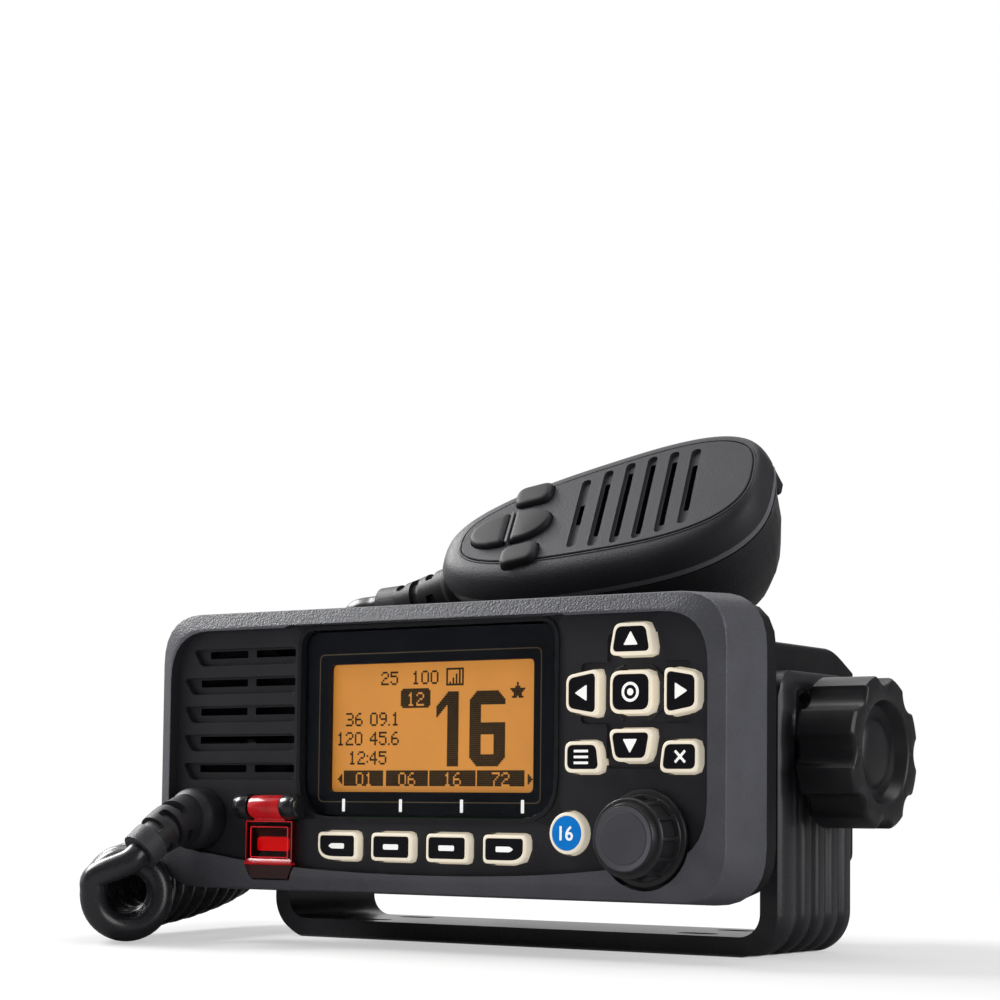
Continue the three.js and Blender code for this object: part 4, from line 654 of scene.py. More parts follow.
def look(kind):
    """The radio's finishes by name."""
    tones = bpy.context.scene.radio_colours
    grain = bpy.context.scene.radio_sizes.grain / MM
    if kind == "pane":
        return clear_pane("radio_clear_window")
    if kind == "red_pane":
        return clear_pane("radio_clear_red", (0.86, 0.22, 0.24))
    # Colour, roughness, size and depth of the grain in millimetres, then what differs from plain plastic
    table = {
        "bezel": (tones.bezel, 0.42, grain, 0.07, dict(leather=True, wear=0.2, specular=0.45)),
        "face": (tones.face, 0.4, 0.12, 0.005, dict(wear=0.1, specular=0.3)),
        "flange": (tones.face, 0.42, 0.2, 0.006, dict(wear=0.3)),
        # The bracket's black is 1.8 times the knobs' black: painted light that makes up for the shade the
        # bracket sits in.
        "bracket": (Vector(tones.black) * 1.8, 0.3, 0.2, 0.008, dict(wear=0.3, specular=0.5)),
        "black": (tones.black, 0.33, 0.2, 0.008, dict(wear=0.3, specular=0.4)),
        "gloss_black": (tones.black, 0.16, 0.4, 0.003, dict(wear=0.2)),
        # The volume knob's edges are lightened most of all: wear, and a painted highlight that picks out the
        # grip's flats.
        "knob_black": (tones.black, 0.36, 0.2, 0.006, dict(wear=0.4, specular=0.5)),
        "cap_grey": (Vector(tones.bezel) * 0.75, 0.55, 0.15, 0.006, dict(wear=0.0)),
        "cap_edge": (tones.bezel, 0.4, 0.15, 0.004, dict(wear=0.0)),
        # Near-black with little gloss: painted shade for the insides of slots, slits and holes and for the
        # parts seen through them.
        "slit": ((0.002, 0.002, 0.002), 0.8, 0.3, 0.01, dict(wear=0.0, specular=0.1)),
        "chassis": (tones.chassis, 0.5, 0.35, 0.04, dict(leather=True, wear=0.3, specular=0.3)),
        # The ivory rims glow: painted light that brightens the keys.
        "cream": (tones.cream, 0.42, 0.15, 0.005, dict(emission=0.38, mottle=0.04, wear=0.0)),
        "inset": (tones.inset, 0.3, 0.12, 0.004, dict(wear=0.0, specular=0.2)),
        # The marks and the round key's blue glow too: painted light.
        "mark": (tones.mark, 0.5, 0.1, 0.004, dict(emission=0.4, mottle=0.03, wear=0.0)),
        "blue": (tones.blue, 0.35, 0.12, 0.004, dict(specular=0.1, emission=0.15, mottle=0.06, wear=0.0)),
        "amber": (tones.amber, 0.4, 0.43, 0.0, dict(mottle=0.05, wear=0.0, emission=0.5)),
        "pixel": (tones.pixel, 0.6, 0.43, 0.0, dict(mottle=0.2, wear=0.0, emission=0.4, specular=0.1)),
        "print": ((0.004, 0.006, 0.01), 0.3, 0.3, 0.002, dict(mottle=0.35, wear=0.0, specular=0.1)),
        "gold_line": ((0.09, 0.06, 0.03), 0.4, 0.2, 0.002, dict(wear=0.0)),
        "red": (tones.red, 0.12, 0.5, 0.004, dict(mottle=0.45, wear=0.0)),
        # Red at a twentieth of its brightness: painted shade for the dark seen through the clear cover's rim
        # and foot and on the button's upper half.
        "dark_red": (Vector(tones.red) * 0.05, 0.15, 0.5, 0.004, dict(mottle=0.4, wear=0.0)),
        # The cover's lines and the button's lower half glow: painted light.
        "red_edge": ((0.9, 0.02, 0.03), 0.2, 0.5, 0.004, dict(emission=0.16, mottle=0.5, wear=0.0)),
        "red_key": ((0.95, 0.03, 0.035), 0.3, 0.2, 0.004, dict(emission=0.35, wear=0.0)),
        "mic": (tones.mic, 0.48, 0.36, 0.04, dict(leather=True, wear=0.15, specular=0.3)),
        "mic_back": (Vector(tones.mic) * 0.6, 0.5, 0.45, 0.06, dict(leather=True, specular=0.3)),
        "mic_key": (Vector(tones.mic) * 0.5, 0.55, 0.2, 0.006, dict(wear=0.15, specular=0.3)),
        "seal": (tones.seal, 0.32, 0.3, 0.004, dict(wear=0.1)),
        "rubber": (tones.rubber, 0.27, 0.18, 0.005, dict(wear=0.1, mottle=0.2, specular=0.6)),
        "grained_rubber": (Vector(tones.bezel) * 0.45, 0.5, 0.28, 0.06, dict(leather=True, wear=0.1)),
        "matt_rubber": (tones.rubber, 0.5, 0.2, 0.03, dict(wear=0.2, mottle=0.2, specular=0.35)),
        "steel": ((0.5, 0.51, 0.53), 0.32, 0.1, 0.004, dict(metallic=1.0, brushed=True)),
        "nickel": ((0.6, 0.6, 0.58), 0.2, 0.2, 0.003, dict(metallic=1.0)),
        "board": ((0.014, 0.1, 0.042), 0.45, 0.5, 0.01, dict(mottle=0.2, wear=0.1)),
    }
    *surface, extras = table[kind]
    return finish(f"radio_{kind}", *surface, **extras)


# The cord
def turns_along(line, pitch, reach):
    """Side, up and number of turns so far at each point, with fewer turns where the line bends."""
    along, side, up = frames_along(line)
    step = run_length(line) / (len(line) - 1)
    bend = np.arccos(np.clip((along[1:] * along[:-1]).sum(axis=1), -1, 1)) / step
    turns = np.r_[0, np.cumsum(step / (pitch * (1 + bend * reach)))]
    return side, up, turns


def coil_line(sizes):
    """The curls: a helix round the coil's route, opened where the route bends."""
    radius = sizes.coil_radius / MM
    tube_radius = sizes.cord_diameter / MM / 2
    line = even_line(COIL_ROUTE, 601)
    side, up, turns = turns_along(line, sizes.curl_pitch / MM, radius + tube_radius)
    end_share, start_angle, per_turn = 0.5, 0.1, 48
    total = math.floor(turns[-1] - end_share) + end_share
    turns *= total / turns[-1]
    wanted = np.linspace(0, total, int(total * per_turn) + 1)
    middle, across, over = (
        np.column_stack([np.interp(wanted, turns, rows[:, k]) for k in range(3)]) for rows in (line, side, up)
    )
    angle = (start_angle - wanted * 2 * math.pi)[:, None]
    return middle + radius * (across * np.cos(angle) + over * np.sin(angle))


def mouth(route):
    """Where a relief ends, and the direction in which the cord leaves it."""
    line = even_line(route, 200)
    out = line[-1] - line[-2]
    return line[-1], out / np.linalg.norm(out)


def cord_line(sizes):
    """The whole cord from the gland's mouth to the boot's."""
    near = sizes.cord_diameter / MM / 2
    coil = coil_line(sizes)
    enter = (coil[1] - coil[0]) / np.linalg.norm(coil[1] - coil[0])
    leave = (coil[-1] - coil[-2]) / np.linalg.norm(coil[-1] - coil[-2])
    gland, gland_out = mouth(GLAND_ROUTE)
    boot, boot_out = mouth(BOOT_ROUTE)
    lead = even_line([gland - gland_out, gland + gland_out * near, coil[0] - enter * near, coil[0]], 40)
    tail = even_line(
        [coil[-1], coil[-1] + leave * near, TAIL_APPROACH, boot + boot_out * near, boot - boot_out], 90
    )
    return np.vstack([lead[:-1], coil, tail[1:]]), gland


def make_cord(sizes):
    """The cord in one piece, standing for the cord's three nodes and riding on no body."""
    line, gland = cord_line(sizes)
    cord = form(
        "curly_cord",
        [(*tube(line, sizes.cord_diameter / MM / 2, 20), look("rubber"))],
        None,
        ("cord_lead", "cord_curls", "cord_tail"),
        sharp=50.0,
    )
    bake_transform(cord)


# Radii in millimetres; root, collar and gap are shares of a length, the bridge is half its angle
RELIEF = dict(core=3.9, ring=5.7, tip=4.7, rings=3, root=0.17, collar=0.24, gap=0.42, bridge=0.42)


def relief(route, root_radius):
    """A strain relief: a plain root, bands joined by bridges over an inner core, a collar."""
    sides = 96
    line = even_line(route, 260)
    share = np.linspace(0, 1, len(line))
    span = (1 - RELIEF["root"] - RELIEF["collar"]) / RELIEF["rings"]

    def reach(i, turn):
        t = share[i]
        if t < RELIEF["root"]:
            blend = np.clip((t - RELIEF["root"] * 0.55) / (RELIEF["root"] * 0.4), 0, 1)
            return root_radius + (RELIEF["ring"] - root_radius) * blend * blend * (3 - 2 * blend)
        place = (t - RELIEF["root"]) / span
        band = min(int(place), RELIEF["rings"] - 1)
        outer = RELIEF["ring"] - (RELIEF["ring"] - RELIEF["tip"]) * min(place / RELIEF["rings"], 1)
        if place >= RELIEF["rings"] or place - band < RELIEF["gap"]:
            return outer
        middle = (band % 2) * math.pi / 2 + 0.2
        apart = np.abs((turn - middle + math.pi / 2) % math.pi - math.pi / 2)
        edge = min(place - band - RELIEF["gap"], band + 1 - place) / 0.14
        wide = RELIEF["bridge"] + (0.35 * (1 - math.sqrt(1 - (1 - edge) ** 2)) if edge < 1 else 0)
        return np.where(apart < wide, outer, RELIEF["core"])

    points, faces = tube(line, 1.0, sides, reach)
    plain, grained = [], []
    for face in faces:
        row = min(face[0] // sides, len(line) - 1)
        middle = points[list(face)].mean(axis=0)
        deep = np.linalg.norm(middle - line[row]) < RELIEF["core"] + 0.3
        tail = len(face) == 4 and share[row] > 1 - RELIEF["collar"]
        (grained if deep or tail else plain).append(face)
    return [(points, plain, look("matt_rubber")), (points, grained, look("grained_rubber"))]


def make_gland():
    """The cord's boss on the panel with its relief."""
    boss = [
        (0, FACE_BACK - 1.7),
        (5.4, FACE_BACK - 1.7),
        (5.4, FACE_BACK - CLEARANCE),
        (4.4, FACE_BACK - CLEARANCE),
        (4.4, FACE + CLEARANCE),
        (6.9, FACE + CLEARANCE),
        (7.2, FACE + 0.7),
        (7.2, FACE + 4.6),
        (7.0, FACE + 5.3),
        (6.5, FACE + 6.1),
        (5.8, FACE + 6.9),
        (0, FACE + 6.9),
    ]
    parts = [(*turned_out(boss, -64.4, -16.3, 72), look("matt_rubber")), *relief(GLAND_ROUTE, 5.8)]
    form("gland_relief", parts, "radio", ("cord_gland",), sharp=28.0)


def make_boot():
    """The relief at the microphone's end of the cord."""
    form("mic_boot_relief", relief(BOOT_ROUTE, 6.2), "mic", ("mic_boot",), sharp=28.0)


# Front panel
def panel_finish(centre):
    """Finish of the panel's face whose middle is there."""
    x, out, z = centre[0], -centre[1], centre[2] - AXIS
    from_hinge, from_pin = abs(x - DISTRESS[0]), abs(z - DISTRESS[1])
    in_boss = HINGE_BOSS["near"] < from_hinge < HINGE_BOSS["far"] and from_pin < HINGE_BOSS["half"]
    if in_boss and out > FACE + 0.05:
        return look("gloss_black")
    before_back = out > FACE_BACK - 0.2
    left, right, low, high = WINDOW
    border = 1.1
    if left - border < x < right + border and low - border < z < high + border and before_back:
        return look("gloss_black")
    in_recess = abs(x) < RECESS["half_width"] and abs(z) < RECESS["half_height"]
    if in_recess and out < RIDGE - 0.9 and before_back:
        # Faces deep in the recess, the louvre slots, take the near-black slit finish: painted shade.
        return look("slit") if out < FACE - 1.4 and abs(x) < RECESS["slot_half"] else look("face")
    return look("flange") if out < FLANGE_OUT else look("bezel")


def make_panel():
    """The panel's moulding and the caps on its hinge bosses."""
    soften(skin("front_panel", "panel_moulding", look("bezel"), panel_finish))
    domed = [
        (0, 2.6),
        (0.03, 2.9),
        (0.08, 3.0),
        (0.55, 3.0),
        (0.72, 2.92),
        (0.85, 2.7),
        (0.94, 2.3),
        (0.985, 1.6),
        (1, 0.5),
    ]
    for side, label in ((-1, "left"), (1, "right")):
        cap = along_x(domed, *DISTRESS, HINGE_OUT, side * 5.02, side * 9.3)
        form(f"hinge_cap_{label}", [(*cap, look("gloss_black"))], "radio")


# Keys
def key_cap(outline_at, top, marks):
    """An ivory cap with a dark top set in it; outline_at gives the cap's outline at an inset."""
    rim = bpy.context.scene.radio_sizes.key_rim / MM
    rounding, overhang = 0.55, 0.9
    flange = FACE_BACK - CLEARANCE
    levels = [(-overhang, FACE_BACK - 1.1), (-overhang, flange), (0, flange)]
    for a in np.linspace(0, math.pi / 2, 6):
        levels.append((rounding * (1 - math.cos(a)), KEY_FRONT - rounding * (1 - math.sin(a))))
    levels += [(rim, KEY_FRONT), (rim, KEY_FRONT - 0.35)]
    inner = [(rim + 0.04, KEY_FRONT - 0.6), (rim + 0.04, KEY_FRONT - 0.1), (rim + 0.16, MARK_FOOT)]
    cap, face = (
        loft([on_panel(outline_at(distance), out) for distance, out in rows]) for rows in (levels, inner)
    )
    return [(*cap, look("cream")), (*face, look(top)), *marks]


def mark(outline):
    """A raised symbol on a key from its outline."""
    rise = bpy.context.scene.radio_sizes.mark_rise / MM
    return (*plate(outline, MARK_FOOT - 0.1, MARK_FOOT + rise), look("mark"))


def arrow_mark(x, z, direction, size=1.75):
    """A rounded triangle that points up, down, left or right."""
    degrees = {"up": 0, "left": 90, "down": 180, "right": 270}[direction]
    corners = [(-size, -size * 0.75), (size, -size * 0.75), (0, size * 0.95)]
    return mark(rounded(turned(corners, x, z, degrees), 0.3, 4))


def bar_mark(x, z, width, height, angle=0.0, pointed=0):
    """A rounded bar, with a point at its left or right end where pointed is -1 or 1."""
    half, low = width / 2, height / 2
    corners = [(-half, -low), (half, -low), (half, low), (-half, low)]
    if pointed < 0:
        corners = [(-half + low, -low), (half, -low), (half, low), (-half + low, low), (-half - low * 0.6, 0)]
    if pointed > 0:
        corners = [(-half, -low), (half - low, -low), (half + low * 0.6, 0), (half - low, low), (-half, low)]
    return mark(rounded(turned(corners, x, z, angle), min(width, height) * 0.28, 4))


def ring_mark(x, z, outer, inner):
    """A raised ring on a key."""
    back, front = MARK_FOOT - 0.1, MARK_FOOT + bpy.context.scene.radio_sizes.mark_rise / MM
    levels = ((inner, back), (outer, back), (outer, front), (inner, front))
    band = closed_band([(ring_of(radius, 40, x, z), out) for radius, out in levels])
    return (*band, look("mark"))


def numerals(text, x, z, height, level):
    """Plain numbers raised on the panel."""
    letters = bpy.data.curves.new("numerals", "FONT")
    letters.body = text
    letters.align_x = "CENTER"
    letters.align_y = "CENTER"
    letters.size = height
    letters.extrude = 0.08
    letters.offset = height * 0.012
    letters.resolution_u = 4
    holder = bpy.data.objects.new("numerals", letters)
    bpy.context.scene.collection.objects.link(holder)
    view = bpy.context.evaluated_depsgraph_get()
    mesh = bpy.data.meshes.new_from_object(holder.evaluated_get(view))
    points = np.array([vertex.co[:] for vertex in mesh.vertices])
    faces = [tuple(polygon.vertices) for polygon in mesh.polygons]
    bpy.data.objects.remove(holder)
    bpy.data.meshes.remove(mesh)
    points -= (points.max(axis=0) + points.min(axis=0)) / 2
    placed = np.column_stack([x + points[:, 0], -level - points[:, 2], AXIS + z + points[:, 1]])
    return (placed, faces, look("mark"))


def capped_outline(corners, radii):
    """A function that gives the rounded outline at any inset."""
    radii = radii if hasattr(radii, "__len__") else [radii] * len(corners)

    def outline_at(distance):
        return rounded(inset(corners, distance), [max(r - distance / 2, 0.05) for r in radii], 6)

    return outline_at


def pad_outlines():
    """Corners and corner radius of the pad's keys."""
    cx, cz = PAD
    caps = {}
    for name, level, foot, top in (("key_up", cz + ROW, 5.5, 4.2), ("key_down", cz - ROW, 4.2, 5.5)):
        low, high = level - 3.45, level + 3.45
        caps[name] = ([(cx - foot, low), (cx + foot, low), (cx + top, high), (cx - top, high)], 1.7)
    caps["key_enter"] = (around(cx, cz, 10.4, 9.1), 2.4)
    for name, side in (("key_left", -1), ("key_right", 1)):
        near, far = cx + side * (COLUMN - 4.1), cx + side * (COLUMN + 4.1)
        corners = [(near, cz - 5.2), (far, cz - 3.8), (far, cz + 3.8), (near, cz + 5.2)]
        caps[name] = (corners if side > 0 else corners[::-1], 1.7)
    for name, side in (("key_menu", -1), ("key_clear", 1)):
        corners = around(cx + side * COLUMN, LOW_ROW, 8.6, 6.7)
        inner = 0 if side > 0 else 1
        corners[inner] = (corners[inner][0] - side * 0.9, corners[inner][1])
        caps[name] = (corners, 1.8)
    return caps


def make_keys():
    """The pad's keys, the four keys under the display, the round key and the lines round the middle key."""
    cx, cz = PAD
    caps = pad_outlines()
    marks = {
        "key_up": [arrow_mark(cx, cz + ROW, "up")],
        "key_down": [arrow_mark(cx, cz - ROW, "down")],
        "key_left": [arrow_mark(cx - COLUMN, cz, "left")],
        "key_right": [arrow_mark(cx + COLUMN, cz, "right")],
        "key_enter": [ring_mark(cx, cz, 2.1, 1.5), mark(ring_of(0.75, 28, cx, cz))],
        "key_menu": [bar_mark(cx - COLUMN, LOW_ROW + step, 3.6, 0.55) for step in (-1.25, 0, 1.25)],
        "key_clear": [bar_mark(cx + COLUMN, LOW_ROW, 3.4, 0.55, angle) for angle in (45, -45)],
    }
    small, large, level = 1.2, 4.2, -22
    ends = {1: (-1, [large, small, small, small]), 4: (1, [small, large, small, small])}
    for i in range(1, 5):
        x = 0.3 + (i - 2.5) * 15.3
        pointed, radii = ends.get(i, (0, [small] * 4))
        caps[f"key_soft_{i}"] = (around(x, level, 11.4, 6.3), radii)
        marks[f"key_soft_{i}"] = [bar_mark(x, level, 4.2, 1.2, pointed=pointed)]
    for name, (corners, radii) in caps.items():
        parts = key_cap(capped_outline(corners, radii), "inset", marks[name])
        form(f"{name}_cap", parts, name, (name,))
    x, z = ROUND_KEY
    number = numerals("16", x, z, 4.3, KEY_FRONT + 0.04)
    parts = key_cap(lambda distance: ring_of(4.5 - distance, 56, x, z), "blue", [number])
    form("key_sixteen_cap", parts, "key_sixteen", ("key_sixteen",))
    form("keypad_well_edge", well_edges(), "radio")


def well_edges():
    """Glossy chamfer lines between the pad's keys, round the middle one."""
    cx, cz = PAD
    out = FACE - 0.62
    parts = []
    for quarter in range(4):
        line = []
        for share in np.linspace(-0.62, 0.62, 14):
            angle = math.radians(quarter * 90) + math.pi / 4 + share * 0.62
            line.append((cx + 7.35 * math.cos(angle) * 1.02, -out, AXIS + cz + 6.35 * math.sin(angle)))
        parts.append((*tube(np.array(line), 0.28, 10), look("gloss_black")))
    return parts


# Display
DIGITS = {
    "0": "01110 10001 10001 10001 10001 10001 01110",
    "1": "00100 01100 00100 00100 00100 00100 01110",
    "2": "01110 10001 00001 00110 01000 10000 11111",
    "3": "11110 00001 00001 01110 00001 00001 11110",
    "4": "00010 00110 01010 10010 11111 00010 00010",
    "5": "11111 10000 11110 00001 00001 10001 01110",
    "6": "00110 01000 10000 11110 10001 10001 01110",
    "7": "11111 00001 00010 00100 01000 01000 01000",
    "8": "01110 10001 10001 01110 10001 10001 01110",
    "9": "01110 10001 10001 01111 00001 00010 01100",
    ".": "0 0 0 0 0 0 1",
    ":": "0 0 1 0 0 1 0",
    " ": "000 000 000 000 000 000 000",
}


def write_number(dots, text, column, row, value=True):
    """Sets the dots of a number whose upper left corner is there."""
    for digit in text:
        rows = DIGITS[digit].split()
        for r, line in enumerate(rows):
            for c, bit in enumerate(line):
                if bit == "1":
                    dots[row + r, column + c] = value
        column += len(rows[0]) + 1


def fill(dots, left, right, top, bottom, value=True):
    """Sets a block of dots."""
    dots[top:bottom, left:right] = value


def display_dots():
    """Which of the display's dots are dark."""
    dots = np.zeros((LCD_ROWS, LCD_COLUMNS), bool)
    write_number(dots, "25", 30, 3)
    write_number(dots, "100", 50, 3)
    fill(dots, 72, 83, 2, 11)
    fill(dots, 73, 82, 3, 10, False)
    for step in range(4):
        fill(dots, 74 + step * 2, 75 + step * 2, 9 - step * 2, 10)
    fill(dots, 43, 62, 12, 22)
    for c, r in ((43, 12), (61, 12), (43, 21), (61, 21)):
        dots[r, c] = False
    write_number(dots, "12", 47, 14, False)
    fill(dots, 73, 80, 14, 52)
    for c in range(66, 73):
        top = 21 - (c - 66)
        fill(dots, c, c + 1, top, top + 6)
    rows, columns = np.mgrid[0:LCD_ROWS, 0:LCD_COLUMNS]
    big = np.zeros_like(dots)
    big[14:52, 87:109] = True
    for c, r, sc, sr in ((87, 14, 1, 1), (108, 14, -1, 1), (87, 51, 1, -1), (108, 51, -1, -1)):
        corner = (np.abs(columns - c) + np.abs(rows - r)) < 4
        big &= ~corner
    big[21:30, 94:109] = False
    big[36:46, 94:102] = False
    dots |= big
    for dy, half in enumerate((0, 0, 1, 4, 3, 2, 2, 3)):
        fill(dots, 116 - half, 117 + half, 10 + dy, 11 + dy)
    dots[17, 116] = False
    write_number(dots, "36 09.1", 7, 24)
    write_number(dots, "120 45.6", 1, 34)
    write_number(dots, "12:45", 9, 44)
    for left, right, text in ((6, 32, "01"), (34, 61, "06"), (62, 91, "16"), (92, 121, "72")):
        fill(dots, left, right, 54, 62)
        write_number(dots, text, (left + right) // 2 - 5, 55, False)
    for k in range(3):
        fill(dots, 2 + k, 3 + k, 58 - k, 59 + k)
        fill(dots, 125 - k, 126 - k, 58 - k, 59 + k)
    return dots


def dot_bars():
    """A flat box over each run of dark dots in a row."""
    left, right, low, high = LCD
    pitch_x, pitch_z = (right - left) / LCD_COLUMNS, (high - low) / LCD_ROWS
    points, faces = [], []
    for r, dots in enumerate(display_dots()):
        ends = np.flatnonzero(np.diff(np.r_[0, dots.astype(int), 0]))
        base, top = high - (r + 1) * pitch_z + 0.012, high - r * pitch_z
        for start, end in zip(ends[::2], ends[1::2]):
            outline = rectangle(left + start * pitch_x, left + end * pitch_x, base, top)
            box_points, box_faces = loft([on_panel(outline, LCD_FRONT + at) for at in (0.01, 0.06)])
            faces.extend([tuple(len(points) + i for i in face) for face in box_faces])
            points.extend(box_points.tolist())
    return np.array(points), faces


def make_display():
    """The display's dots, its window with the dark border behind it, a thin line and four ticks."""
    form("display_dots", [(*dot_bars(), look("pixel"))], "radio")

    def round_lcd(distance, radius):
        return rounded(inset(rectangle(*LCD), -distance), radius, 10)

    window = rectangle(*WINDOW)
    radii = [r - CLEARANCE for r in WINDOW_RADII]
    glass = rounded(inset(window, CLEARANCE), radii, 10)
    narrower = rounded(inset(window, CLEARANCE + 0.1), radii, 10)
    pane_back = LENS_FRONT - 0.55
    levels = ((glass, pane_back), (glass, LENS_FRONT - 0.12), (narrower, LENS_FRONT))
    pane = loft([on_panel(outline, out) for outline, out in levels])
    hole = round_lcd(0.5, 1.3)
    back, front = FACE_BACK - 1.0, pane_back - 0.02
    mask = closed_band(((hole, back), (glass, back), (glass, front), (hole, front)))
    parts = [(*pane, look("pane")), (*mask, look("print"))]
    form("display_window", parts, "radio", ("display_lens",), sharp=25.0)
    outer, inner = round_lcd(2.9, 1.6), round_lcd(2.65, 1.4)
    front = LENS_FRONT + 0.03
    line = closed_band(((inner, LENS_FRONT), (outer, LENS_FRONT), (outer, front), (inner, front)))
    form("display_border_line", [(*line, look("gold_line"))], "radio")
    ticks = []
    for x in (-23.2, -7.0, 9.8, 26.0):
        outline = rounded(around(x, -12.75, 0.8, 2.9), 0.2, 3)
        ticks.append((*plate(outline, LENS_FRONT, LENS_FRONT + 0.04), look("mark")))
    form("display_key_ticks", ticks, "radio")


# Knob for volume
def flatted(radius, depth, flats, steps=288):
    """A round outline with flats cut round it, a ridge between each two."""
    turn = np.linspace(0, 2 * math.pi, steps, endpoint=False)
    phase = ((turn * flats / (2 * math.pi)) % 1 - 0.5) * 2 * math.pi / flats
    flat = (radius - depth) / np.cos(phase)
    ridge = np.clip((np.abs(phase) - 0.2) / 0.02, 0, 1)
    reach = flat + (radius - flat) * ridge if depth else np.full(steps, radius)
    return np.column_stack([reach * np.cos(turn), reach * np.sin(turn)])


def make_volume():
    """The volume knob: a skirt, a grip with flats, a bright edge and a sunk disc."""
    x, z = VOLUME
    flats = bpy.context.scene.radio_sizes.volume_flats
    back, skirt, grip, front = 53.0, 54.5, 61.1, 62.5
    bore = 3.3
    rings = [
        (bore, 0, grip - 0.3),
        (bore, 0, back),
        (9.9, 0, back),
        (10.2, 0, back + 0.3),
        (10.2, 0, skirt - 0.35),
        (10.05, 0, skirt - 0.08),
        (9.7, 0, skirt),
        (9.15, 0, skirt + 0.05),
        (9.0, 0, skirt + 0.3),
        (8.98, 0, skirt + 0.7),
        (8.96, 0.95, skirt + 0.85),
        (8.74, 0.98, (skirt + grip) / 2),
        (8.54, 1.0, grip - 0.9),
        (8.42, 0, grip - 0.55),
        (8.3, 0, grip - 0.25),
        (8.1, 0, grip - 0.05),
        (7.85, 0, grip),
        (7.4, 0, grip),
        (7.28, 0, grip + 0.12),
        (7.1, 0, front - 0.3),
        (6.98, 0, front - 0.06),
        (6.8, 0, front),
        (6.7, 0, front - 0.1),
        (6.66, 0, front - 0.6),
    ]
    loops = [on_panel(flatted(radius, depth, flats) + (x, z), out) for radius, depth, out in rings]
    parts = [(*loft(loops), look("knob_black"))]
    for rows, surface in (
        (((6.72, 0.5), (6.72, 0.08), (6.6, 0.02), (5.5, 0.22), (5.4, 0.3)), "cap_edge"),
        (((5.43, 0.6), (5.43, 0.2), (5.3, 0.14), (2.5, 0.12), (0.01, 0.12)), "cap_grey"),
    ):
        profile = [(radius, front - under) for radius, under in rows]
        parts.append((*turned_out(profile, x, z, 96), look(surface)))
    form("volume_knob_grip", parts, "volume_knob", ("volume_knob",), sharp=20.0)


# Red cover
def along_x(profile, x0, z, out, from_x, to_x, steps=40):
    """A turned form whose axis runs along X, from rows of share along it and radius."""
    rings = []
    for share, radius in profile:
        x = x0 + from_x + (to_x - from_x) * share
        rings.append(across_x(ring_of(radius, steps, -out, AXIS + z), x))
    return loft(rings)


def frame_of(corners, radius, width, back, front):
    """A flat rounded frame on the panel."""
    outer = rounded(corners, radius, 5)
    inner = rounded(inset(corners, width), max(radius - width, 0.1), 5)
    bevel = 0.1
    top = inset_ring(outer, bevel)
    return closed_band(((inner, back), (outer, back), (outer, front - bevel), (top, front), (inner, front)))


def along_panel(profile, from_x, to_x):
    """A bar along X from its outline of levels out and heights."""
    outline = [(-out, AXIS + z) for out, z in profile]
    return loft([across_x(outline, x) for x in (from_x, to_x)])


def make_distress():
    """The red cover with its barrel, see-through pane and lip, and the button under it."""
    x, z = DISTRESS
    front, back = 54.7, 53.4
    round_end = [(0, 2.35), (0.03, 2.6), (0.08, 2.7), (0.92, 2.7), (0.97, 2.6), (1, 2.35)]
    barrel = along_x(round_end, x, z, HINGE_OUT, -4.7, 4.7)
    low, foot, half, top = -26.4, -29.8, 7.0, z - 3.2
    window = rectangle(x - half, x + half, low, top)
    rim = frame_of(window, 0.7, 0.55, back, front - 0.03)
    lines = [
        frame_of(inset(window, at), 0.5, 0.2, front - 0.3, front + rise)
        for at, rise in ((0.05, 0), (1.35, -0.08))
    ]
    pane = plate(rounded(inset(window, 0.7), 0.3, 4), back + 0.45, front - 0.3)
    lip = [
        (back, low - 0.35),
        (front - 0.05, low - 0.35),
        (front + 0.3, low - 0.2),
        (front + 0.4, low + 0.05),
        (front + 0.3, low + 0.3),
        (front - 0.35, low + 1.2),
        (back, low + 1.2),
    ]
    base = []
    for wide, near, level in ((half, front - 0.1, low - 0.3), (5.4, front - 0.35, foot)):
        corners = ((wide, back), (-wide, back), (-wide, near), (wide, near))
        base.append(np.array([(x - across, -out, AXIS + level) for across, out in corners]))
    neck = plate(rounded(rectangle(x - 4.6, x + 4.6, top - 0.5, z), 0.3, 3), back, front - 0.1, 0.1)
    # The rim and the foot are dark red: painted shade for the dark seen through the clear cover; the lines
    # glow bright red: painted light.
    parts = [
        (*barrel, look("red")),
        (*rim, look("dark_red")),
        *((*line, look("red_edge")) for line in lines),
        (*pane, look("red_pane")),
        (*along_panel(lip, x - half + 0.1, x + half - 0.1), look("red")),
        (*loft(base), look("dark_red")),
        (*neck, look("red")),
    ]
    form("distress_cover_leaf", parts, "distress_cover", ("distress_cover",), sharp=28.0)
    edge = capped_outline(around(x, z - 7.3, 10, 6.2), 1.1)
    rings = [
        (-0.9, 48.8),
        (-0.9, 49.6),
        (0, 49.6),
        (0, 52.6),
        (0.15, 52.87),
        (0.5, 53.0),
        (1.2, 53.0),
        (1.4, 52.85),
    ]
    # The button is dark red and only a plate over its lower half is bright red and glows: painted shade on
    # its upper half, painted light on the lower.
    bright = plate(rounded(around(x, z - 8.55, 9.6, 3.3), 0.9, 6), 52.8, 53.04, 0.1)
    parts = [
        (*loft([on_panel(edge(distance), out) for distance, out in rings]), look("dark_red")),
        (*bright, look("red_key")),
    ]
    form("distress_button", parts, "distress_key", ("distress_key",))


# Case and bracket
def make_chassis():
    """The cast case behind the panel."""
    soften(skin("rear_chassis", "cast_case", look("chassis")), 0.3)


BRACKET = dict(inner=66.2, outer=71.6, corner=9.6, base=4.4, top=63.2, half=17.5, top_corner=6.0, bead=8.6)


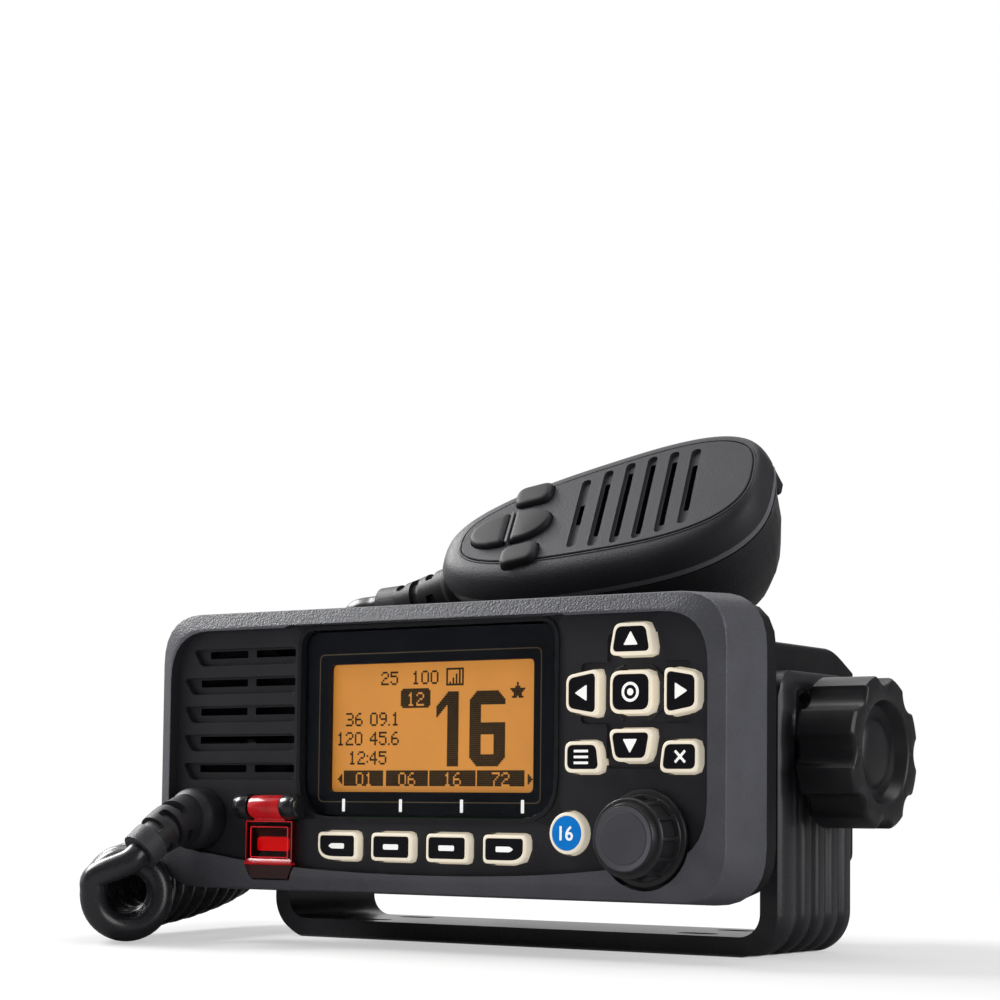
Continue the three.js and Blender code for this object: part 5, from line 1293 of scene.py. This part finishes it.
def arm_top(y):
    """Height of the arm's top edge at that depth."""
    half, r = BRACKET["half"], BRACKET["top_corner"]
    past = np.clip(np.abs(y) - (half - r), 0, r)
    return BRACKET["top"] - r + np.sqrt(r * r - past * past)


def arm_relief(y, z):
    """How far the arm's outside lies under its highest level: a bead in front and on top, then ribs."""
    front = (y + BRACKET["half"]) / BRACKET["bead"]
    over = (BRACKET["top"] - z) / 4.4
    corner = 1 - np.hypot(np.clip(1 - front, 0, 1), np.clip(1 - over, 0, 1))
    across = (np.clip(corner, 0, 1) - 0.5) * 2 * 0.965
    bead = -1.5 * (1 - np.sqrt(1 - across**2))
    pitch, width = 6.6, 2.62
    place = (y + BRACKET["half"] - BRACKET["bead"] - 1.5) % pitch - 2.55
    rib = -1.08 * np.clip(np.abs(place) / width, 0, 1) ** 3.2
    rib = np.where(np.abs(place) < 2.55, rib, -1.08)
    return np.where(corner < 1, bead, np.minimum(rib, -0.03))


def bracket_skin():
    """Rings down one arm, round under the base and up the other arm."""
    b = BRACKET
    bead_end = b["bead"] - b["half"]
    y = np.r_[np.linspace(-b["half"], bead_end, 19), np.linspace(bead_end, b["half"], 76)]
    y = np.unique(np.round(y, 4))
    rings = []

    def ring(outer_x, outer_z, inner_x, inner_z):
        out = np.column_stack(np.broadcast_arrays(outer_x, y, outer_z))
        back = np.column_stack(np.broadcast_arrays(inner_x, y, inner_z))[::-1]
        rings.append(np.vstack([out, back]))

    def arm(side, shares):
        for share in shares:
            z = b["corner"] + share * (arm_top(y) - b["corner"])
            ring(side * (b["outer"] + arm_relief(y, z)), z, side * b["inner"], z)

    def corner(side, shares):
        centre, inner_radius = b["outer"] - b["corner"], b["corner"] - b["base"]
        inner_centre = b["inner"] - inner_radius
        for share in shares:
            a = share * math.pi / 2
            reach = b["corner"] + arm_relief(y, 20.0) * min(1, (1 - share) * 3)
            ring(
                side * (centre + reach * math.cos(a)),
                b["corner"] - reach * math.sin(a),
                side * (inner_centre + inner_radius * math.cos(a)),
                b["corner"] - inner_radius * math.sin(a),
            )

    shares = np.r_[np.linspace(1, 0.78, 26), np.linspace(0.7, 0, 8)]
    bend = np.linspace(0, 1, 14)[1:]
    arm(-1, shares)
    corner(-1, bend)
    corner(1, bend[::-1])
    arm(1, shares[::-1])
    points, faces = loft(rings)
    faces = faces[:-2]
    count, last = len(y), (len(rings) - 1) * 2 * len(y)
    for j in range(count - 1):
        far = 2 * count - 1 - j
        faces.append((j, far, far - 1, j + 1))
        faces.append((last + j, last + j + 1, last + far - 1, last + far))
    return points, faces


def make_bracket():
    """The bracket with its pivot holes, locking holes and screw slots."""
    # The bracket's finish is the knobs' black made lighter: painted light.
    black = look("bracket")
    holes = []
    for side in (-1, 1):
        for radius, y, z in ((4.5, 0, AXIS), (1.5, -6, AXIS + 12)):
            turn = ring_of(radius, 40, y, z)
            ends = [across_x(turn, side * x) for x in (BRACKET["inner"] - 1, BRACKET["outer"] + 1)]
            holes.append((*loft(ends), black))
        for y in (-9, 9):
            slot = rounded(around(side * 46, y, 9.8, 4.8), 2.39, 8)
            ends = [np.column_stack([slot, np.full(len(slot), z)]) for z in (-1, BRACKET["base"] + 1)]
            holes.append((*loft(ends), black))
    blank = (*bracket_skin(), black)
    name = "gimbal_bracket"
    bracket = carved_form(name, blank, holes, "bracket", ("bracket",), sharp=32.0)
    soften(bracket, 0.35, angle=50.0)


# Clamp knobs
def lobed(radius, valley, lobes, steps=288):
    """Flat-topped lobes with hollow scallops between them."""
    turn = np.linspace(0, 2 * math.pi, steps, endpoint=False)
    phase = np.abs((turn * lobes / (2 * math.pi) + 0.5) % 1 - 0.5) * 2
    scoop = np.clip(1 - (phase / 0.56) ** 2, 0, 1) ** 0.85
    reach = radius - valley * 1.1 * scoop
    return np.column_stack([reach * np.cos(turn), reach * np.sin(turn)])


def make_clamps():
    """The two lobed clamp knobs."""
    lobes = bpy.context.scene.radio_sizes.clamp_lobes
    start, size = 73.9, 14.2
    rings = [
        (3.8, 0, 54.9 - start),
        (3.8, 0, 0.4),
        (15.2, 2.0, 0.0),
        (16.4, 2.0, 0.0),
        (17.2, 2.0, 0.9),
        (17.2, 2.0, size - 1.1),
        (17.05, 1.95, size - 0.6),
        (16.5, 1.8, size - 0.12),
        (16.1, 1.6, size),
        (12.2, 0.15, size),
        (11.8, 0, size - 0.15),
        (11.5, 0, size - 0.5),
        (10.9, 0, size - 2.6),
        (10.5, 0, size - 3.1),
        (10.0, 0, size - 3.2),
        (8.3, 0, size - 3.2),
        (7.8, 0, size - 3.05),
        (7.3, 0, size - 2.6),
        (6.4, 0, size - 2.15),
        (5.0, 0, size - 1.8),
        (3.0, 0, size - 1.62),
        (1.2, 0, size - 1.6),
    ]
    for side, label in ((-1, "left"), (1, "right")):
        loops = [
            across_x(lobed(radius, valley, lobes) + (0, AXIS), side * (start + along))
            for radius, valley, along in rings
        ]
        form(
            f"clamp_knob_{label}_grip",
            [(*loft(loops), look("black"))],
            f"knob_{label}",
            (f"clamp_knob_{label}",),
            sharp=32.0,
        )


# Microphone: outlines as tail, head, half width at the tail and at the head
EGG = (-50.0, 41.6, 17.5, 26.2)
PLATEAU = (-42.3, 39.7, 12.5, 20.0)
SEAM = -7.2
MIC_ROCKER = -27.2


def egg(tail, head, tail_half, head_half, steps):
    """The microphone's outline, narrower at its tail."""
    turn = np.linspace(0, 2 * math.pi, steps, endpoint=False)
    fullness = 2 / 2.7
    half = (head - tail) / 2
    u = half * np.sign(np.cos(turn)) * np.abs(np.cos(turn)) ** fullness
    width = tail_half + (head_half - tail_half) * (u / half / 2 + 0.5)
    v = width * np.sign(np.sin(turn)) * np.abs(np.sin(turn)) ** fullness
    return np.column_stack([(tail + head) / 2 + u, v])


def even_egg(sizes, distance=0.0, steps=200):
    """The outline at an inset, with its points at equal distances."""
    tail, head, tail_half, head_half = sizes
    raw = egg(tail + distance, head - distance, tail_half - distance, head_half - distance, 1600)
    closed = np.vstack([raw, raw[:1]])
    flat = np.column_stack([closed, np.zeros(len(closed))])
    return spaced(flat, steps + 1)[:-1, :2]


def shoulder(share):
    """The outline that far on the way from the shell's edge to its plateau."""
    return even_egg([a + (b - a) * share for a, b in zip(EGG, PLATEAU)])


def mic_blank():
    """The front shell's outside, with a fine groove round its plateau."""
    rise = -SEAM
    shares = [
        (0, 0),
        (0.02, 0.16),
        (0.055, 0.3),
        (0.12, 0.44),
        (0.22, 0.585),
        (0.33, 0.7),
        (0.46, 0.79),
        (0.62, 0.86),
        (0.78, 0.91),
        (0.92, 0.935),
    ]
    groove = [
        (-0.15, -0.42),
        (0.1, -0.2),
        (0.35, -0.2),
        (0.42, -0.62),
        (0.68, -0.62),
        (0.76, -0.12),
        (0.95, 0.0),
    ]
    rings = [on_mic(shoulder(share), SEAM + rise * up) for share, up in shares]
    return loft(rings + [on_mic(even_egg(PLATEAU, distance), at) for distance, at in groove])


def through(outline, low, high):
    """A straight skin between two heights over the microphone's face."""
    return loft([on_mic(outline, low), on_mic(outline, high)])


def make_mic():
    """The microphone's shells, band, slotted grille, keys and talk key."""
    rise, wall = -SEAM, 2.4
    inner = loft(
        [
            on_mic(even_egg(EGG, wall), SEAM - 1),
            on_mic(even_egg(EGG, wall), SEAM),
            on_mic(shoulder(0.62), SEAM + rise * 0.4),
            on_mic(even_egg(PLATEAU, wall), -wall),
        ]
    )
    # Every face a cutter leaves, inside the shell, in the slits, key holes and boot hole, takes the
    # near-black slit finish: painted shade.
    grained, dark = look("mic"), look("slit")
    cutters = [(*inner, dark)]
    halves = (12.4, 13.9, 14.7, 15.0, 14.7, 13.6)
    slits = (0.3, 0.7, 0.8, 0.86, 0.8, 0.62)
    for i, (half, share) in enumerate(zip(halves, slits)):
        u = -7.9 + 6.08 * i
        groove = [
            on_mic(rounded(around(u, 0, wide, 2 * half + wide - 2.4), wide / 2, 8), at)
            for wide, at in ((2.0, -0.9), (2.5, -0.5), (2.7, 0.3))
        ]
        cutters.append((*loft(groove), grained))
        slit = rounded(around(u + 0.1, 0, 1.6, 2 * half * share), 0.7, 8)
        cutters.append((*through(slit, -6, 0.45), dark))
    keys = mic_key_outlines()
    for corners, radius in keys.values():
        cutters.append((*through(rounded(corners, radius, 8), -6, 0.5), dark))
    hole = tube(even_line(BOOT_ROUTE, 40)[:14], 6.65, 40)
    cutters.append((*hole, dark))
    blank = (*mic_blank(), grained)
    carved_form("mic_front_moulding", blank, cutters, "mic", ("mic_front_shell",))
    for name, (corners, radius) in keys.items():
        edge = capped_outline(corners, radius)
        levels = [(-0.45, -3.5), (-0.45, -2.7), (0.3, -2.7), (0.3, 0.5), (0.42, 1.0)]
        levels += [(0.75, 1.35), (1.3, 1.5)]
        if name != "mic_key_up":
            levels.append((2.0, 1.55))
        rings = [on_mic(edge(distance), at) for distance, at in levels]
        form(f"{name}_cap", [(*loft(rings), look("mic_key"))], name, (name,))
    ridge = rounded(around(MIC_ROCKER, 0, 0.7, 11.4), 0.3, 6)
    ridge_skin = loft([on_mic(ridge, -2.0), on_mic(ridge, 1.1), on_mic(inset_ring(ridge, 0.12), 1.25)])
    form("mic_rocker_ridge", [(*ridge_skin, look("seal"))], "mic")
    rows = [(2.4, -9.0), (0.35, -9.0), (0.15, -8.85), (0.1, -8.2), (0.15, -7.6), (0.35, -7.45), (2.4, -7.45)]
    band = loft([on_mic(even_egg(EGG, distance), at) for distance, at in rows])
    # The band's cut round the boot takes the near-black finish too: painted shade.
    blank, cutters = (*band, look("seal")), [(*hole, dark)]
    carved_form("mic_band", blank, cutters, "mic", ("mic_seal_strip",))
    soften(skin("mic_back_shell", "mic_back_moulding", look("mic_back"), sharp=40.0), 0.2)
    soften(skin("mic_ptt", "mic_talk_key", look("matt_rubber"), sharp=40.0), 0.35)


def inset_ring(outline, distance):
    """The outline drawn in towards its middle by that distance."""
    middle = outline.mean(axis=0)
    away = outline - middle
    return middle + away * (1 - distance / np.linalg.norm(away, axis=1))[:, None]


def mic_key_outlines():
    """Corners and corner radius of the microphone's two round-ended keys and its rocker's halves."""
    long, half, gap = 12.0, 6.1, 1.2
    keys = {
        "mic_key_far": (around(-22.5, 11.1, 11, 7.4), 2.9),
        "mic_key_near": (around(-22.5, -11.1, 11, 7.4), 2.9),
    }
    for name, direction in (("mic_key_down", -1), ("mic_key_up", 1)):
        near = MIC_ROCKER + direction * gap / 2
        reach = long - gap / 2
        bow = [math.radians(a) for a in range(-68, 69, 17)]
        corners = [(near, -half)]
        corners += [(near + direction * reach * math.cos(a) ** 0.8, half * math.sin(a)) for a in bow]
        corners.append((near, half))
        keys[name] = (corners if direction > 0 else corners[::-1], 1.3)
    return keys


# Parts that only show from behind or inside keep the node's own form
def finish_nodes():
    """Gives every node that no skin stands for the finish of its slot."""
    looks = {
        "steel": "steel",
        "nickel": "nickel",
        "board_green": "board",
        "black_plastic": "black",
        "rubber": "matt_rubber",
        "cream_key": "cream",
        "amber_display": "amber",
    }
    for name, node in NODES.items():
        if node.hide_render:
            continue
        kind = looks.get(SLOTS[name])
        if kind is None:
            raise RuntimeError(f"{name} has no finish")
        node.data.materials.clear()
        # The speaker and the microphone's element take the near-black slit finish: painted shade, so that
        # what shows through the slots stays dark.
        node.data.materials.append(look("slit" if name in ("speaker", "mic_element") else kind))


# Camera and stage: places and sizes in metres, angles in degrees
CAMERA = dict(place=(0.31218, -0.47899, 0.03128), yaw=34.353, pitch=3.911, roll=0.6115, shift=0.15)
LAMPS = {
    "key_light": ((-1.1, -0.08, 0.86), (1.0, 0.42)),
    "top_light": ((0.1, 0.25, 1.25), (1.1, 0.7)),
    "side_light": ((1.2, 0.0, 0.42), (0.8, 0.8)),
}
LAMP_AIM = (0, 0, 0.06)
CLOTH = dict(
    reach=2.4, columns=48, rows=10, low=-2, rise=68, start=-140, turn=240, card=1.6, lift=0.0004, tone=0.26
)


def make_camera(stage):
    """The camera at the front right, low over the floor."""
    yaw, pitch, roll = (math.radians(CAMERA[key]) for key in ("yaw", "pitch", "roll"))
    ahead = Vector((-math.sin(yaw) * math.cos(pitch), math.cos(yaw) * math.cos(pitch), math.sin(pitch)))
    right = Vector((math.cos(yaw), math.sin(yaw), 0))
    up = right.cross(ahead)
    across = right * math.cos(roll) + up * math.sin(roll)
    over = up * math.cos(roll) - right * math.sin(roll)
    data = bpy.data.cameras.new("camera")
    data.lens = stage.lens
    data.sensor_width = 36
    data.shift_y = CAMERA["shift"]
    data.clip_start, data.clip_end = 0.01, 100
    camera = bpy.data.objects.new("camera", data)
    bpy.context.scene.collection.objects.link(camera)
    turn = Matrix((across, over, -ahead)).transposed().to_4x4()
    camera.matrix_world = Matrix.Translation(Vector(CAMERA["place"])) @ turn
    bpy.context.scene.camera = camera


def area_light(name, place, size, watts):
    """A lamp aimed at the radio."""
    data = bpy.data.lights.new(name, "AREA")
    data.shape = "RECTANGLE"
    data.size, data.size_y = size
    data.energy = watts
    lamp = bpy.data.objects.new(name, data)
    bpy.context.scene.collection.objects.link(lamp)
    lamp.location = place
    aim = Vector(LAMP_AIM) - Vector(place)
    lamp.rotation_euler = aim.to_track_quat("-Z", "Y").to_euler()


def seen_directly(tree):
    """1 for rays from the camera, a mirror or clear plastic."""
    path = node_of(tree, "ShaderNodeLightPath")
    first = node_of(tree, "ShaderNodeMath", operation="MAXIMUM")
    both = node_of(tree, "ShaderNodeMath", operation="MAXIMUM")
    tree.links.new(path.outputs["Is Camera Ray"], first.inputs[0])
    tree.links.new(path.outputs["Is Glossy Ray"], first.inputs[1])
    tree.links.new(first.outputs[0], both.inputs[0])
    tree.links.new(path.outputs["Is Transmission Ray"], both.inputs[1])
    return both.outputs[0]


def make_world(stage):
    """Even light from all round, white where it is seen."""
    world = bpy.data.worlds.new("studio")
    bpy.context.scene.world = world
    world.use_nodes = True
    tree = world.node_tree
    backdrop = tree.nodes["Background"]
    backdrop.inputs["Color"].default_value = (1, 1, 1, 1)
    strength = node_of(tree, "ShaderNodeMapRange", To_Min=stage.ambient, To_Max=1.0)
    tree.links.new(seen_directly(tree), strength.inputs["Value"])
    tree.links.new(strength.outputs["Result"], backdrop.inputs["Strength"])


def floor_finish(stage):
    """Pale paper that turns white away from the radio where it is seen."""
    material = bpy.data.materials.new("pale_floor")
    material.use_nodes = True
    tree = material.node_tree
    link = tree.links.new
    shader = tree.nodes["Principled BSDF"]
    shader.inputs["Base Color"].default_value = (*stage.floor, 1)
    shader.inputs["Roughness"].default_value = 0.9
    shader.inputs["Specular IOR Level"].default_value = 0.1
    glow = node_of(tree, "ShaderNodeEmission", Strength=1.0)
    place = node_of(tree, "ShaderNodeTexCoord")
    away = node_of(tree, "ShaderNodeVectorMath", operation="LENGTH")
    fade = node_of(tree, "ShaderNodeMapRange", From_Min=0.17, From_Max=0.5, To_Min=0.5, To_Max=1.0)
    fade.interpolation_type = "SMOOTHSTEP"
    factor = node_of(tree, "ShaderNodeMath", operation="MULTIPLY")
    mix = node_of(tree, "ShaderNodeMixShader")
    link(place.outputs["Object"], away.inputs[0])
    link(away.outputs["Value"], fade.inputs["Value"])
    link(fade.outputs["Result"], factor.inputs[0])
    link(seen_directly(tree), factor.inputs[1])
    link(factor.outputs[0], mix.inputs["Fac"])
    link(shader.outputs["BSDF"], mix.inputs[1])
    link(glow.outputs["Emission"], mix.inputs[2])
    link(mix.outputs["Shader"], tree.nodes["Material Output"].inputs["Surface"])
    return material


def stage_piece(name, points, faces, material):
    """A piece of the stage in metres."""
    mesh = bpy.data.meshes.new(name)
    mesh.from_pydata(points, [], faces)
    mesh.materials.append(material)
    piece = bpy.data.objects.new(name, mesh)
    bpy.context.scene.collection.objects.link(piece)
    return piece


def make_floor(stage):
    """A round floor, made of rings that grow outwards."""
    sides, reaches = 96, (0.3, 1.0, 3.0, 12.0)
    turn = np.linspace(0, 2 * math.pi, sides, endpoint=False)
    points, faces = [(0, 0, 0)], []
    for reach in reaches:
        points += [(reach * math.cos(a), reach * math.sin(a), 0) for a in turn]
    for i in range(sides):
        here, after = 1 + i, 1 + (i + 1) % sides
        faces.append((0, here, after))
        for start in range(0, sides * (len(reaches) - 1), sides):
            a, b = start + here, start + after
            faces.append((a, a + sides, b + sides, b))
    stage_piece("floor", points, faces, floor_finish(stage))


def make_cloth():
    """A dark cloth behind the camera and a dark card under the radio, which only gloss shows."""
    columns, rows, reach, card, lift = (CLOTH[key] for key in ("columns", "rows", "reach", "card", "lift"))
    points, faces = [], []
    for r in range(rows + 1):
        rise = math.radians(CLOTH["low"] + CLOTH["rise"] * r / rows)
        for c in range(columns + 1):
            turn = math.radians(CLOTH["start"] + CLOTH["turn"] * c / columns)
            x, y = reach * math.cos(turn) * math.cos(rise), reach * math.sin(turn) * math.cos(rise)
            points.append((x, y, reach * math.sin(rise)))
    for r in range(rows):
        for c in range(columns):
            a = r * (columns + 1) + c
            faces.append((a, a + 1, a + columns + 2, a + columns + 1))
    start = len(points)
    points += [(x, y, lift) for x, y in ((-card, -card), (card, -card), (card, card), (-card, card))]
    faces.append((start, start + 1, start + 2, start + 3))
    material = bpy.data.materials.new("dark_cloth")
    material.use_nodes = True
    shader = material.node_tree.nodes["Principled BSDF"]
    shader.inputs["Base Color"].default_value = (*[CLOTH["tone"]] * 3, 1)
    shader.inputs["Roughness"].default_value = 1.0
    shader.inputs["Specular IOR Level"].default_value = 0.0
    cloth = stage_piece("dark_cloth", points, faces, material)
    cloth.visible_camera = False
    cloth.visible_diffuse = False
    cloth.visible_shadow = False


def make_stage(stage):
    """The floor, the dark cloth, the backdrop and the lamps."""
    make_floor(stage)
    make_cloth()
    make_world(stage)
    for name, (place, size) in LAMPS.items():
        area_light(name, place, size, getattr(stage, name))
    bpy.context.scene.view_settings.view_transform = "Standard"


# Operators
class RADIO_OT_camera(bpy.types.Operator):
    """Set the camera at the front right, low over the floor."""

    bl_idname = "radio.camera"
    bl_label = "Camera"

    def execute(self, context):
        make_camera(context.scene.radio_stage)
        return {"FINISHED"}


class RADIO_OT_cord(bpy.types.Operator):
    """Make the curly cord and its two strain reliefs."""

    bl_idname = "radio.cord"
    bl_label = "Cord"

    def execute(self, context):
        make_cord(context.scene.radio_sizes)
        make_gland()
        make_boot()
        return {"FINISHED"}


class RADIO_OT_panel(bpy.types.Operator):
    """Make the front panel's moulding."""

    bl_idname = "radio.panel"
    bl_label = "Front panel"

    def execute(self, context):
        make_panel()
        return {"FINISHED"}


class RADIO_OT_keys(bpy.types.Operator):
    """Make the panel's keys with their symbols."""

    bl_idname = "radio.keys"
    bl_label = "Keys"

    def execute(self, context):
        make_keys()
        return {"FINISHED"}


class RADIO_OT_display(bpy.types.Operator):
    """Make the window and the display's dots."""

    bl_idname = "radio.display"
    bl_label = "Display"

    def execute(self, context):
        make_display()
        return {"FINISHED"}


class RADIO_OT_volume(bpy.types.Operator):
    """Make the volume knob."""

    bl_idname = "radio.volume"
    bl_label = "Volume knob"

    def execute(self, context):
        make_volume()
        return {"FINISHED"}


class RADIO_OT_distress(bpy.types.Operator):
    """Make the red cover and the button under it."""

    bl_idname = "radio.distress"
    bl_label = "Red cover"

    def execute(self, context):
        make_distress()
        return {"FINISHED"}


class RADIO_OT_case(bpy.types.Operator):
    """Make the cast case and the bracket."""

    bl_idname = "radio.case"
    bl_label = "Case and bracket"

    def execute(self, context):
        make_chassis()
        make_bracket()
        return {"FINISHED"}


class RADIO_OT_clamps(bpy.types.Operator):
    """Make the two clamp knobs."""

    bl_idname = "radio.clamps"
    bl_label = "Clamp knobs"

    def execute(self, context):
        make_clamps()
        return {"FINISHED"}


class RADIO_OT_microphone(bpy.types.Operator):
    """Make the microphone's shells and keys."""

    bl_idname = "radio.microphone"
    bl_label = "Microphone"

    def execute(self, context):
        make_mic()
        return {"FINISHED"}


class RADIO_OT_inner_parts(bpy.types.Operator):
    """Give every part that keeps its own form its finish."""

    bl_idname = "radio.inner_parts"
    bl_label = "Inner and rear parts"

    def execute(self, context):
        finish_nodes()
        return {"FINISHED"}


class RADIO_OT_stage(bpy.types.Operator):
    """Make the floor, the backdrop and the light."""

    bl_idname = "radio.stage"
    bl_label = "Stage"

    def execute(self, context):
        make_stage(context.scene.radio_stage)
        return {"FINISHED"}


OPERATORS = (
    RADIO_OT_camera,
    RADIO_OT_cord,
    RADIO_OT_panel,
    RADIO_OT_keys,
    RADIO_OT_display,
    RADIO_OT_volume,
    RADIO_OT_distress,
    RADIO_OT_case,
    RADIO_OT_clamps,
    RADIO_OT_microphone,
    RADIO_OT_inner_parts,
    RADIO_OT_stage,
)


class RADIO_PT_dressing(bpy.types.Panel):
    """Lists the radio's pieces and their sizes and colours."""

    bl_idname = "RADIO_PT_dressing"
    bl_label = "Marine radio"
    bl_space_type = "VIEW_3D"
    bl_region_type = "UI"
    bl_category = "Radio"

    def draw(self, context):
        for operator in OPERATORS:
            self.layout.operator(operator.bl_idname)
        for group in (context.scene.radio_sizes, context.scene.radio_colours, context.scene.radio_stage):
            for name in group.bl_rna.properties.keys():
                if name not in ("rna_type", "name"):
                    self.layout.prop(group, name)


GROUPS = (RadioColours, RadioSizes, RadioStage)


def register():
    """Adds the classes and the scene's groups of properties."""
    for cls in (*GROUPS, *OPERATORS, RADIO_PT_dressing):
        bpy.utils.register_class(cls)
    bpy.types.Scene.radio_colours = PointerProperty(type=RadioColours)
    bpy.types.Scene.radio_sizes = PointerProperty(type=RadioSizes)
    bpy.types.Scene.radio_stage = PointerProperty(type=RadioStage)


def unregister():
    """Takes the groups of properties and the classes away again."""
    del bpy.types.Scene.radio_stage
    del bpy.types.Scene.radio_sizes
    del bpy.types.Scene.radio_colours
    for cls in reversed((*GROUPS, *OPERATORS, RADIO_PT_dressing)):
        bpy.utils.unregister_class(cls)


def main():
    """Makes every piece."""
    register()
    for operator in OPERATORS:
        group, name = operator.bl_idname.split(".")
        getattr(getattr(bpy.ops, group), name)()


if __name__ == "__main__":
    main()
